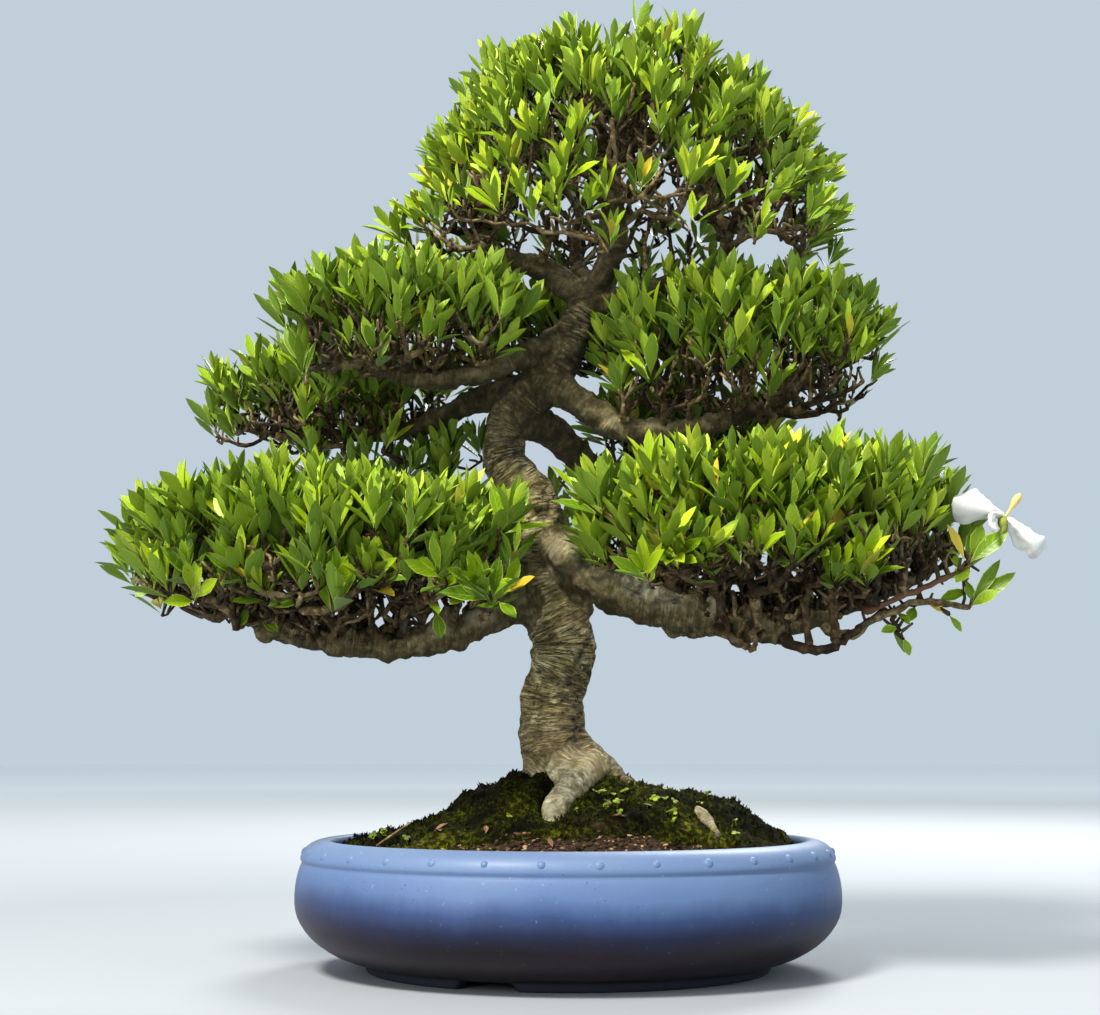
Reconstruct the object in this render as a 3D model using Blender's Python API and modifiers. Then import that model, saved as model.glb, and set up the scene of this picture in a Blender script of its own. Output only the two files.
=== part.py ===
# A gardenia bonsai in an oval, blue-glazed drum pot.
# Metres, +Z up. The origin is the middle of the pot's foot, on the surface it stands on, and the viewing side is -Y.
import math
import random

import bmesh
import bpy
from mathutils import Matrix, Vector, noise
from mathutils.bvhtree import BVHTree

MM = 0.001

# The pot: an oval drum with an incurved rim, a studded band, and a low foot ring cut into three feet.
POT_LENGTH = 280 * MM
POT_DEPTH = 238 * MM
POT_HEIGHT = 66 * MM
POT_STEPS = 48
FLOOR_TOP = 11 * MM
FOOT_HEIGHT = 4.6 * MM
FOOT_GAP = 30 * MM
FOOT_GAP_ANGLES = (-112.7, 7.3, 127.3)
STUD_COUNT = 32
STUD_PLACE = (134.9, 60.2)
STUD_SLOPE = 0.66
STUD_RADIUS = 2.5 * MM
STUD_RISE = 1.4 * MM
DRAIN_RADIUS = 9 * MM
DRAIN_OFFSET = 52 * MM
SCREEN_SIDE = 27 * MM
SCREEN_THICK = 1 * MM
SCREEN_CELLS = 2
OVAL = POT_DEPTH / POT_LENGTH

# Radius and height, in millimetres, down the outside of the pot and, from the floor up, on its inside.
OUTER_WALL = ((121.5, 64.4), (125, 66), (132.2, 64.3), (137, 57), (136.2, 54.4), (139.9, 42), (138.2, 27.5),
              (129.6, 15.2), (107.5, 5), (104, 4.6), (103, 0), (95, 0), (94, 4.6), (0, 4.6))
INNER_WALL = ((0, 11), (108, 11), (131, 29), (129.4, 50))
SOIL_WALL = ((125.6, 56), (130.4, 29.2), (107.8, 11.4), (0, 11.4))

# Pieces that touch keep this gap, because their faces are stored as 32-bit numbers.
GAP = 0.3 * MM
WOOD_CLEARANCE = 1 * MM
TWIG_CLEARANCE = 0.5 * MM

# The planted mound: its height at the pot's wall, and how far it climbs to the trunk.
MOUND_EDGE = 63 * MM
MOUND_RISE = 48 * MM
MOUND_REACH = 118 * MM
MOUND_RINGS = (26, 54, 84, 112)
MOUND_STEPS = 24
MOSS_THICK = 5 * MM

# The wood: what the blended limbs are thinned to, and the fine twigs under each pad.
WOOD_VOXEL = 2.4 * MM
WOOD_TRIANGLES = 1900
TWIG_RADIUS = 2 * MM

# The leaves, larger than life because there are fewer of them than on the tree. They stand this far out of a pad's
# core, up to this length, and keep this clear of other pads.
LEAF_REACH = 29 * MM
LEAF_LENGTH = 33 * MM
LEAF_WIDTH = 13.5 * MM
LEAF_THICK = 1.6 * MM
LEAF_SPREAD = 18.5 * MM
LEAF_SPACING = 14 * MM

# The core of a pad: its wall, how much its rim sways up and down, and how deep a limb's tip is let in (mm).
CORE_WALL = 8 * MM
RIM_SWAY = 9
TIP_SUNK = 1.6
SEED = 11

# Places along the wood: x, y, z and radius in millimetres.
TRUNK = ((-1, 0, 78, 24), (-3, 0, 96, 23), (-5, 0, 108, 19.5), (-8, 0, 120, 17.4), (-8, 0, 133, 17.2),
         (-6, 0, 146, 16.8), (-2, 0, 158, 16.2), (-2, 0, 169, 16.4), (-7, 0, 181, 16.8), (-13, 0, 192, 16.6),
         (-16, 0, 204, 16.4), (-16, 0, 217, 16.2), (-16, 1, 230, 15), (-20, 2, 243, 13.6), (-28, 4, 255, 12.8),
         (-34, 6, 267, 12.4), (-33, 8, 280, 12), (-26, 8, 292, 12.2), (-16, 6, 303, 12.4), (-7, 4, 314, 11.4),
         (0, 2, 326, 10.3), (5, 0, 338, 9.4), (12, 0, 351, 8.2), (20, 0, 366, 6.6), (23, 1, 386, 5.2),
         (22, 2, 408, 4.2), (24, 2, 426, 3.8), (26, 2, 443, 3.2))
ROOTS = (
    ((12, -2, 108, 11), (15, -9, 105, 9.5), (5, -19, 98, 7.8), (-4, -31, 90, 7), (-7, -43, 82, 6.6),
     (-5, -54, 73, 5.4), (-2, -62, 66, 4)),
    ((6, 0, 106, 13), (20, -4, 101, 9), (36, -14, 92, 6.4), (52, -28, 84, 5), (64, -44, 76, 4.2), (70, -54, 69, 3.6)),
    ((-10, -2, 102, 12), (-24, -6, 93, 8), (-40, -10, 82, 5.6), (-54, -14, 72, 4)),
    ((-6, 6, 102, 13), (-20, 24, 91, 8), (-34, 42, 78, 5)),
    ((4, 6, 102, 13), (18, 24, 92, 8), (34, 42, 79, 5)),
)
BRANCHES = {
    "low_left": ((-16, 0, 190, 12), (-33, -6, 184, 9.6), (-45, -14, 177, 8.5), (-58, -22, 171, 7.8),
                 (-73, -28, 167, 7.2), (-91, -34, 164, 6.6), (-110, -38, 166, 5.6), (-129, -41, 169, 4.9),
                 (-150, -42, 177, 4), (-168, -43, 190, 3.4), (-178, -43, 203, 3)),
    "low_right": ((-10, 0, 218, 14), (5, -10, 208, 13), (21, -20, 196, 12.2), (37, -28, 187, 11),
                  (56, -34, 181, 9.6), (76, -38, 178, 8.4), (98, -41, 176, 7), (123, -43, 179, 5.4),
                  (144, -44, 188, 4.2), (155, -44, 200, 3.4), (159, -44, 216, 3)),
    "mid_left": ((-6, 2, 328, 9), (-17, -5, 322, 7.2), (-30, -11, 315, 6.5), (-49, -16, 307, 5.8),
                 (-69, -20, 303, 5.1), (-90, -22, 306, 4.2), (-106, -23, 313, 3.4), (-114, -23, 326, 3)),
    "back_left": ((-20, 8, 302, 10), (-35, 20, 304, 8.2), (-50, 32, 301, 7.1), (-72, 42, 293, 5.7),
                  (-98, 50, 286, 4.6), (-126, 55, 286, 3.8), (-144, 58, 293, 3.2), (-152, 59, 302, 3)),
    "mid_right": ((-12, 4, 304, 10), (2, -1, 297, 8.6), (16, -5, 287, 8), (30, -7, 279, 7.4), (49, -7, 277, 6.7),
                  (70, -5, 281, 5.8), (89, -4, 286, 4.8), (110, -4, 294, 3.8), (122, -4, 302, 3.3), (128, -4, 314, 3)),
    "back_low": ((-26, 8, 288, 10), (-10, 24, 284, 8.8), (4, 38, 274, 8.2), (16, 52, 264, 7.6), (31, 64, 258, 6.4),
                 (46, 74, 258, 5), (57, 77, 266, 3.6), (62, 78, 278, 3)),
    "back_high": ((0, 2, 326, 9), (-2, 18, 330, 7), (-4, 34, 329, 6), (-4, 50, 326, 5), (-3, 64, 332, 3.8),
                  (-2, 70, 340, 3)),
    "high_left": ((10, 0, 350, 8), (-2, 2, 361, 7.4), (-15, 4, 369, 6.4), (-31, 6, 374, 5.3), (-43, 8, 380, 4),
                  (-47, 8, 389, 3.2)),
    "high_right": ((12, 0, 348, 8), (30, -1, 351, 7), (47, -2, 356, 6.4), (68, -3, 361, 5.3), (82, -4, 371, 4),
                   (87, -4, 386, 3.2)),
    "high_front": ((16, -2, 358, 6.6), (22, -14, 366, 5.4), (26, -28, 374, 4.4), (27, -39, 384, 3.6),
                   (27, -44, 399, 3)),
    "high_back": ((16, 2, 358, 6.6), (11, 16, 366, 5.4), (7, 30, 374, 4.4), (5, 40, 384, 3.6), (5, 45, 399, 3)),
}

# Each pad: the middle of its rim, the half width, half depth and rise of its leafy outline (mm), how far that is drawn
# out into a peak (below 1 it is flat on top), how many fine twigs hold it up, and the limb that carries it.
PADS = {
    "foliage_low_left": ((-125, -40, 198), 114, 77, 58, 0.7, 22, "low_left"),
    "foliage_low_right": ((106, -42, 212), 111, 76, 58, 0.7, 22, "low_right"),
    "foliage_mid_left": ((-88, -24, 318), 76, 58, 53, 0.8, 12, "mid_left"),
    "foliage_back_left": ((-134, 58, 294), 80, 56, 49, 0.8, 10, "back_left"),
    "foliage_mid_right": ((92, -6, 300), 92, 60, 72, 0.85, 14, "mid_right"),
    "foliage_back_low": ((64, 66, 272), 66, 50, 46, 0.8, 5, "back_low"),
    "foliage_back_high": ((-2, 68, 336), 60, 50, 42, 0.8, 4, "back_high"),
    "foliage_crown": ((20, 0, 374), 134, 102, 141, 1.25, 14, "trunk"),
}

# The flower, past the outer end of the low right pad, and the stalk that carries it.
FLOWER = (213, -60, 226)
STALK = ((176, -47, 215, 2.2), (188, -52, 209, 2), (199, -57, 209.5, 1.6), (210.25, -59.76, 223.77, 1.4))
PETAL_LENGTH = 27 * MM
PETAL_WIDTH = 15 * MM
PETAL_THICK = 1.1 * MM
PETAL_SPACING = 14 * MM
# The way each petal points, and its size against the largest.
PETALS = ((-1, -0.1, 0.36, 1), (0.84, -0.16, -0.6, 1), (-0.25, -0.9, -0.5, 0.62), (0.55, 0.85, 0.1, 0.9),
          (-0.5, 0.85, 0.3, 0.9), (0.1, 0.75, -0.75, 0.75))
PISTIL = ((214, -60.2, 228, 0.9), (217, -60.6, 231.5, 1), (220, -61, 235, 1.9), (222.4, -61.3, 238, 1.2))


def clear_scene():
    for old in list(bpy.data.objects):
        bpy.data.objects.remove(old)


def collection(name):
    made = bpy.data.collections.new(name)
    bpy.context.scene.collection.children.link(made)
    return made


def material(name, colour, roughness, metallic=0.0):
    made = bpy.data.materials.new(name)
    made.use_nodes = True
    shader = made.node_tree.nodes["Principled BSDF"]
    shader.inputs["Base Color"].default_value = (*colour, 1)
    shader.inputs["Roughness"].default_value = roughness
    shader.inputs["Metallic"].default_value = metallic
    return made


def mesh_from(bm, name):
    mesh = bpy.data.meshes.new(name)
    bm.to_mesh(mesh)
    bm.free()
    return mesh


def add_object(name, mesh, group):
    made = bpy.data.objects.new(name, mesh)
    group.objects.link(made)
    return made


def add_cutter(name, mesh, group):
    made = add_object(name, mesh, group)
    made.hide_render = True
    made.display_type = "WIRE"
    return made


def evaluated_mesh(obj):
    bpy.context.view_layer.update()
    graph = bpy.context.evaluated_depsgraph_get()
    return bpy.data.meshes.new_from_object(obj.evaluated_get(graph), depsgraph=graph)


def applied(obj):
    mesh = evaluated_mesh(obj)
    obj.modifiers.clear()
    obj.data = mesh
    return obj


def boolean(obj, operation, other, solver="EXACT"):
    """Cuts or joins the object with another one, or with all of a collection."""
    cut = obj.modifiers.new(operation.title(), "BOOLEAN")
    cut.operation = operation
    cut.solver = solver
    if isinstance(other, bpy.types.Collection):
        cut.operand_type = "COLLECTION"
        cut.collection = other
    else:
        cut.object = other
    return applied(obj)


def join_repeats(obj, repeats):
    """Unites the object with a collection's pieces, and then removes them."""
    boolean(obj, "UNION", repeats, "MANIFOLD")
    for piece in list(repeats.objects):
        bpy.data.objects.remove(piece)
    bpy.data.collections.remove(repeats)


def keep_largest(obj):
    """Drops the loose scraps that a cut can leave, and the skin of any hollow that a union has sealed."""
    bm = bmesh.new()
    bm.from_mesh(obj.data)
    left = set(bm.faces)
    islands = []
    while left:
        stack = [left.pop()]
        island = list(stack)
        while stack:
            for edge in stack.pop().edges:
                for face in edge.link_faces if len(edge.link_faces) == 2 else ():
                    if face in left:
                        left.discard(face)
                        island.append(face)
                        stack.append(face)
        islands.append(island)
    islands.sort(key=len)
    bmesh.ops.delete(bm, geom=[face for island in islands[:-1] for face in island], context="FACES")
    bm.to_mesh(obj.data)
    bm.free()


def finish(obj, surface, smooth=False):
    obj.data.materials.clear()
    obj.data.materials.append(surface)
    if smooth:
        obj.data.shade_smooth()
        obj.data.set_sharp_from_angle(angle=math.radians(40))
    return obj


def shaped(obj, place):
    for vert in obj.data.vertices:
        vert.co = place(vert.co)
    return obj


def turned(name, profile, steps, group):
    """A solid turned about Z from a profile, in millimetres, that starts and ends on the axis."""
    mesh = bpy.data.meshes.new(name)
    mesh.from_pydata([(r * MM, 0, z * MM) for r, z in profile], [(i, i + 1) for i in range(len(profile) - 1)], [])
    made = add_object(name, mesh, group)
    turn = made.modifiers.new("Turn", "SCREW")
    turn.steps = turn.render_steps = steps
    turn.use_merge_vertices = True
    turn.merge_threshold = 0.00005
    return applied(made)


def box_mesh(middle, sides, turn=0.0):
    bm = bmesh.new()
    place = Matrix.Translation(middle) @ Matrix.Rotation(turn, 4, "Z") @ Matrix.Diagonal((*sides, 1))
    bmesh.ops.create_cube(bm, size=1, matrix=place)
    return mesh_from(bm, "box")


def smooth_path(points, per_span):
    """A smooth curve through the points, as (place, radius) pairs in metres."""
    rows = [Vector(p) * MM for p in points]
    path = []
    for i in range(len(rows) - 1):
        a, b, c, d = rows[max(i - 1, 0)], rows[i], rows[i + 1], rows[min(i + 2, len(rows) - 1)]
        for step in range(per_span):
            t = step / per_span
            path.append(b + 0.5 * ((c - a) * t + (2 * a - 5 * b + 4 * c - d) * t * t
                                   + (3 * b - a - 3 * c + d) * t ** 3))
    path.append(rows[-1])
    return [(row.to_3d(), row[3]) for row in path]


def limb(name, path, group, sides=12):
    """A tapering tube along (place, radius) pairs, as a closed mesh."""
    curve = bpy.data.curves.new(name, "CURVE")
    curve.dimensions = "3D"
    curve.bevel_depth = 1
    curve.bevel_resolution = (sides - 4) // 2
    curve.use_fill_caps = True
    spline = curve.splines.new("POLY")
    spline.points.add(len(path) - 1)
    for point, (place, radius) in zip(spline.points, path):
        point.co = (*place, 1)
        point.radius = radius
    guide = add_object(name + "_line", curve, group)
    mesh = evaluated_mesh(guide)
    bm = bmesh.new()
    bm.from_mesh(mesh)
    bmesh.ops.remove_doubles(bm, verts=bm.verts, dist=0.00001)
    bmesh.ops.recalc_face_normals(bm, faces=bm.faces)
    bm.to_mesh(mesh)
    bm.free()
    bpy.data.objects.remove(guide)
    return add_object(name, mesh, group)


def straight_twig(start, end, group, grow=0.0):
    """A three-sided twig that tapers from the limb to just under the leaves, its faces set out by `grow`."""
    along = end - start
    end = end + along.normalized() * grow
    bm = bmesh.new()
    place = Matrix.Translation((start + end) / 2) @ along.to_track_quat("Z", "Y").to_matrix().to_4x4()
    bmesh.ops.create_cone(bm, cap_ends=True, segments=3, radius1=TWIG_RADIUS + 2 * grow,
                          radius2=0.6 * TWIG_RADIUS + 2 * grow, depth=(end - start).length, matrix=place)
    return add_object("twig", mesh_from(bm, "twig"), group)


def outward(x, y):
    """The share of the way from the pot's axis to the edge of the mound."""
    return math.hypot(x, y / OVAL) / MOUND_REACH


def ground(x, y):
    """The height of the mound, which is a little fuller on the right."""
    share = min(outward(x, y), 1)
    side = math.cos(math.atan2(y, x))
    return MOUND_EDGE + MOUND_RISE * (1 - share) ** (1.05 - 0.15 * side)


def moss_reach(x, y):
    """The moss goes out to the rim all round, but stops short of it at the front, where the soil is bare."""
    from_front = abs((math.degrees(math.atan2(y, x)) + 270) % 360 - 180)
    return 0.99 - 0.27 * min(1, 1.8 * max(0, 1 - from_front / 48))


def on_mound(co):
    """Lays a turned ring's point on the mound, drawn in where the moss stops short."""
    reach = moss_reach(co.x, co.y)
    x, y = co.x * reach, co.y * reach * OVAL
    return Vector((x, y, ground(x, y) - MOSS_THICK))


def build_pot(group, cutters, glaze):
    """The drum pot: turned, pressed oval, studded, with a notched foot ring and two drain holes."""
    pot = turned("pot", INNER_WALL + OUTER_WALL, POT_STEPS, group)
    shaped(pot, lambda co: Vector((co.x, co.y * OVAL, co.z)))
    for angle in FOOT_GAP_ANGLES:
        turn = math.radians(angle)
        middle = (99 * MM * math.cos(turn), 99 * MM * OVAL * math.sin(turn), 0)
        notch = add_cutter("notch", box_mesh(middle, (24 * MM, FOOT_GAP, 2 * FOOT_HEIGHT - 1 * MM), turn), cutters)
        boolean(pot, "DIFFERENCE", notch)
    for side in (-1, 1):
        bm = bmesh.new()
        bmesh.ops.create_cone(bm, cap_ends=True, segments=12, radius1=DRAIN_RADIUS, radius2=DRAIN_RADIUS,
                              depth=4 * FLOOR_TOP, matrix=Matrix.Translation((side * DRAIN_OFFSET, 0, 0)))
        boolean(pot, "DIFFERENCE", add_cutter("drain", mesh_from(bm, "drain"), cutters))
    studs = collection("studs")
    radius, level = STUD_PLACE
    for number in range(STUD_COUNT):
        turn = math.tau * (number + 0.5) / STUD_COUNT
        flat = Vector((math.cos(turn), math.sin(turn) * OVAL, 0))
        out = Vector((math.cos(turn) * OVAL, math.sin(turn), STUD_SLOPE * OVAL)).normalized()
        middle = flat * radius * MM + Vector((0, 0, level * MM))
        bm = bmesh.new()
        bmesh.ops.create_cone(bm, cap_ends=True, segments=6, radius1=2 * STUD_RADIUS, radius2=0,
                              depth=2 * STUD_RISE,
                              matrix=Matrix.Translation(middle) @ out.to_track_quat("Z", "Y").to_matrix().to_4x4())
        add_object("stud", mesh_from(bm, "stud"), studs)
    join_repeats(pot, studs)
    return finish(pot, glaze, smooth=True)


def build_screens(group, cutters, plastic):
    """A coarse screen over each drain hole, lying on the pot's floor."""
    cell = SCREEN_SIDE / SCREEN_CELLS
    for name, side in (("drain_screen_left", -1), ("drain_screen_right", 1)):
        middle = Vector((side * DRAIN_OFFSET, 0, FLOOR_TOP + GAP + SCREEN_THICK / 2))
        screen = add_object(name, box_mesh(middle, (SCREEN_SIDE, SCREEN_SIDE, SCREEN_THICK)), group)
        for row in range(SCREEN_CELLS):
            for column in range(SCREEN_CELLS):
                offset = Vector((column, row, 0)) - Vector((1, 1, 0)) * (SCREEN_CELLS - 1) / 2
                opening = box_mesh(middle + offset * 0.86 * cell, (0.6 * cell, 0.6 * cell, 4 * SCREEN_THICK))
                boolean(screen, "DIFFERENCE", add_cutter("cell", opening, cutters))
        finish(screen, plastic)


def dome(pad, way, inset=0.0):
    """The point of a pad's outline, or of a smaller one inside it, in a direction from the middle of its rim."""
    centre, wide, deep, rise, peak = pad[:5]
    inset /= MM
    lump = 1 + 0.16 * noise.noise(way * 2.6 + Vector(centre) * 0.013)
    up = max(rise - inset, 3) * abs(way.z) ** peak + RIM_SWAY * noise.noise(Vector((way.x, way.y, 0)) * 3.4)
    return (Vector(centre) + Vector((way.x * (wide - inset), way.y * (deep - inset), up)) * lump) * MM


def spread(count, reach=1.0, crowd=0.5):
    """Ways spread over a dome, the more of them near its rim the smaller `crowd` is."""
    for i in range(count):
        flat = min(reach * ((i + 0.5) / count) ** crowd, 0.999)
        turn = i * math.pi * (3 - math.sqrt(5))
        yield Vector((flat * math.cos(turn), flat * math.sin(turn), math.sqrt(1 - flat * flat)))


def core_shape(pad):
    """The core of close twigs inside a pad, a shallow shell, and the ways that its leaf-bearing faces point."""
    _, wide, deep, rise = pad[:4]
    wide, deep, rise = (side * MM - LEAF_REACH for side in (wide, deep, rise))
    rim = round(math.pi * (wide + deep) / LEAF_SPREAD)
    inner = round(1.15 * (math.pi * wide * deep + 0.5 * math.pi * (wide + deep) * rise) / LEAF_SPREAD ** 2)
    ways = list(spread(inner, 0.94, 0.5 - 0.1 * min(rise / wide, 1)))
    ways += [Vector((math.cos(turn), math.sin(turn), 0)) for turn in (math.tau * i / rim for i in range(rim))]
    ways += [Vector((way.x, way.y, -way.z)) for way in spread(round(0.7 * rim), 0.95)]
    bm = bmesh.new()
    for way in ways:
        bm.verts.new(way)
    bmesh.ops.convex_hull(bm, input=bm.verts)
    bmesh.ops.recalc_face_normals(bm, faces=bm.faces)
    bm.verts.ensure_lookup_table()
    bm.faces.ensure_lookup_table()
    leafy = {}
    for number, face in enumerate(bm.faces):
        if min(vert.co.z for vert in face.verts) > -0.01:
            leafy[number] = face.calc_center_median().normalized()
    for vert in bm.verts:
        way = vert.co.normalized()
        if way.z < -0.01:
            vert.co = dome(pad, way, LEAF_REACH + CORE_WALL)
        elif way.z < 0.01:
            vert.co = dome(pad, way, LEAF_REACH) - Vector((0, 0, CORE_WALL / 2))
        else:
            vert.co = dome(pad, way, LEAF_REACH)
    return bm, leafy


def core_mesh(pad):
    return mesh_from(core_shape(pad)[0], "core")


def surface_of(mesh):
    bm = bmesh.new()
    bm.from_mesh(mesh)
    tree = BVHTree.FromBMesh(bm)
    bm.free()
    return tree


def inside_core(point, pad):
    """Whether a point is in a pad's core, or just outside it."""
    centre, wide, deep, rise = pad[:4]
    way = point / MM - Vector(centre)
    near = (LEAF_REACH - 10 * MM) / MM
    up = way.z / (rise - near if way.z > 0 else 11)
    return (way.x / (wide - near)) ** 2 + (way.y / (deep - near)) ** 2 + up ** 2 < 1


def carried(name, points):
    """The points of a limb, the last one moved to lie just inside the core that the limb carries."""
    for pad in PADS.values():
        if pad[6] == name or (pad[6] == "trunk" and name.startswith("high")):
            x, y, _, radius = points[-1]
            hit = surface_of(core_mesh(pad)).ray_cast(Vector((x, y, 0)) * MM, Vector((0, 0, 1)))[0]
            return (*points[:-1], (x, y, hit.z / MM + TIP_SUNK, radius))
    return points


def limb_below(pad):
    """The places along the limbs that carry a pad: the crown has the leader and the four high branches."""
    if pad[6] != "trunk":
        return smooth_path(carried(pad[6], BRANCHES[pad[6]])[2:], 4)
    path = smooth_path(carried("trunk", TRUNK)[23:], 4)
    for name in ("high_left", "high_right", "high_front", "high_back"):
        path += smooth_path(carried(name, BRANCHES[name])[1:], 4)
    return path


def twig_lines():
    """The two ends of each fine twig, which runs from a limb up to the underside of a pad's core."""
    for pad in PADS.values():
        under = surface_of(core_mesh(pad))
        path = limb_below(pad)
        for way in spread(pad[5], 0.92):
            mark = dome(pad, way, LEAF_REACH)
            start = min((place for place, _ in path), key=lambda place: (place - mark).length)
            along = (mark - start).normalized()
            hit, facing, _, distance = under.ray_cast(start, along)
            if hit is not None and facing.z < -0.3 and distance > 10 * MM and along.z > 0.1:
                yield start, hit - along * 0.8 * MM


def build_wood(group, cutters, bark):
    """Trunk, surface roots, main branches and twigs, grown together, and the same a hair larger to cut round it."""
    limbs = [limb("trunk_limb", smooth_path(carried("trunk", TRUNK), 3), group, sides=16)]
    limbs += [limb("root", smooth_path(points, 3), group) for points in ROOTS]
    limbs += [limb("branch", smooth_path(carried(*item), 3), group) for item in BRANCHES.items()]
    bm = bmesh.new()
    for part in limbs:
        bm.from_mesh(part.data)
        bpy.data.objects.remove(part)
    wood = add_object("trunk", mesh_from(bm, "trunk"), group)
    blend = wood.modifiers.new("Blend", "REMESH")
    blend.mode = "VOXEL"
    blend.voxel_size = WOOD_VOXEL
    applied(wood)
    triangles = sum(len(face.vertices) - 2 for face in wood.data.polygons)
    ease = wood.modifiers.new("Ease", "SMOOTH")
    ease.iterations = 2
    thin = wood.modifiers.new("Thin", "DECIMATE")
    thin.ratio = WOOD_TRIANGLES / triangles
    applied(wood)
    keep_largest(wood)
    clearance = add_cutter("wood_clearance", wood.data.copy(), cutters)
    swell = clearance.modifiers.new("Swell", "DISPLACE")
    swell.mid_level = 0
    swell.strength = WOOD_CLEARANCE
    applied(clearance)
    lines = list(twig_lines())
    for obj, grow in ((wood, 0), (clearance, TWIG_CLEARANCE)):
        twigs = collection("twigs")
        for start, end in lines:
            straight_twig(start, end, twigs, grow)
        join_repeats(obj, twigs)
        keep_largest(obj)
    return finish(wood, bark, smooth=True), clearance


def build_soil(group, cutters, clearance, earth):
    """Soil that fills the pot and rises to the trunk, with a pocket over each screen."""
    top = 2 * POT_HEIGHT / MM
    profile = [(0, top)] + [(ring, top) for ring in MOUND_RINGS] + list(SOIL_WALL)
    soil = turned("soil", profile, MOUND_STEPS, group)

    def settle(co):
        if co.z > POT_HEIGHT:
            return on_mound(co)
        return Vector((co.x, co.y * OVAL, co.z))

    shaped(soil, settle)
    room = SCREEN_SIDE + 2 * GAP
    for side in (-1, 1):
        pocket = box_mesh((side * DRAIN_OFFSET, 0, FLOOR_TOP), (room, room, 2 * (SCREEN_THICK + 2 * GAP)))
        boolean(soil, "DIFFERENCE", add_cutter("screen_pocket", pocket, cutters))
    boolean(soil, "DIFFERENCE", clearance, "MANIFOLD")
    keep_largest(soil)
    return finish(soil, earth)


def build_moss(group, clearance, green):
    """The moss over the soil, in low cushions."""
    rings = MOUND_RINGS
    profile = [(0, 1)] + [(ring, 1) for ring in rings] + [(ring, 0) for ring in reversed(rings)] + [(0, 0)]
    moss = turned("moss", profile, MOUND_STEPS, group)

    def lay(co):
        place = on_mound(co)
        cushion = MOSS_THICK + 3.2 * MM * noise.noise(place * 55) + 1.8 * MM * noise.noise(place * 130)
        at_edge = co.xy.length > 0.95 * rings[-1] * MM
        place.z += (0.35 if at_edge else 1) * max(cushion, 2.4 * MM) if co.z > 0 else 0.6 * MM
        return place

    shaped(moss, lay)
    boolean(moss, "DIFFERENCE", clearance, "MANIFOLD")
    keep_largest(moss)
    return finish(moss, green)


def petal_mesh(width, thick, droop=0.08):
    """A petal, one unit long: widest past the middle, blunt, flat above, and keeled along its rib below."""
    half = width / 2
    left = [(0.62 * half, 0.02, 0.3), (half, 0.02, 0.62), (0.5 * half, -droop, 1)]
    outline = [(0, 0, 0)] + left + [(-x, y, z) for x, y, z in reversed(left)]
    bm = bmesh.new()
    verts = [bm.verts.new(point) for point in outline]
    keel = bm.verts.new((0, -thick, 0.5))
    for i, vert in enumerate(verts):
        bm.faces.new((vert, verts[(i + 1) % len(verts)], keel))
    bm.faces.new((verts[0], verts[-1], verts[1]))
    for i in (1, 2):
        bm.faces.new((verts[i], verts[-i], verts[-i - 1], verts[i + 1]))
    bmesh.ops.recalc_face_normals(bm, faces=bm.faces)
    return mesh_from(bm, "petal")


def add_petal(mesh, root, along, above, length, group):
    """Places a petal from its root, its upper face towards `above`."""
    across = above.cross(along).normalized()
    face = along.cross(across)
    petal = add_object("petal", mesh, group)
    turn = Matrix((across, face, along)).transposed().to_4x4()
    petal.matrix_world = Matrix.Translation(root) @ turn @ Matrix.Scale(length, 4)


def draw_out_leaf(bm, face, tip):
    """Draws a three-sided face of the core out into a pointed leaf, flat above and keeled below."""
    root = face.calc_center_median()
    along = tip - root
    first = min(range(3), key=lambda i: face.verts[i].co.z)
    base = [face.verts[(first + i) % 3] for i in range(3)]
    below = base[0].co - root
    below = (below - below.project(along)).normalized()
    across = along.cross(below).normalized()
    middle = root + along * 0.42
    ring = [bm.verts.new(middle + offset) for offset in
            (below * LEAF_THICK, across * LEAF_WIDTH / 2, -across * LEAF_WIDTH / 2)]
    point = bm.verts.new(tip)
    bm.faces.remove(face)
    for i in range(3):
        j = (i + 1) % 3
        bm.faces.new((base[i], base[j], ring[j], ring[i]))
        bm.faces.new((ring[i], ring[j], point))


def segment_gap(a, b, c, d):
    """About how near two short segments come, from a few points along each."""
    near = 1.0
    for i in range(5):
        p = a.lerp(b, i / 4)
        for j in range(5):
            near = min(near, (p - c.lerp(d, j / 4)).length)
    return near


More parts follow.
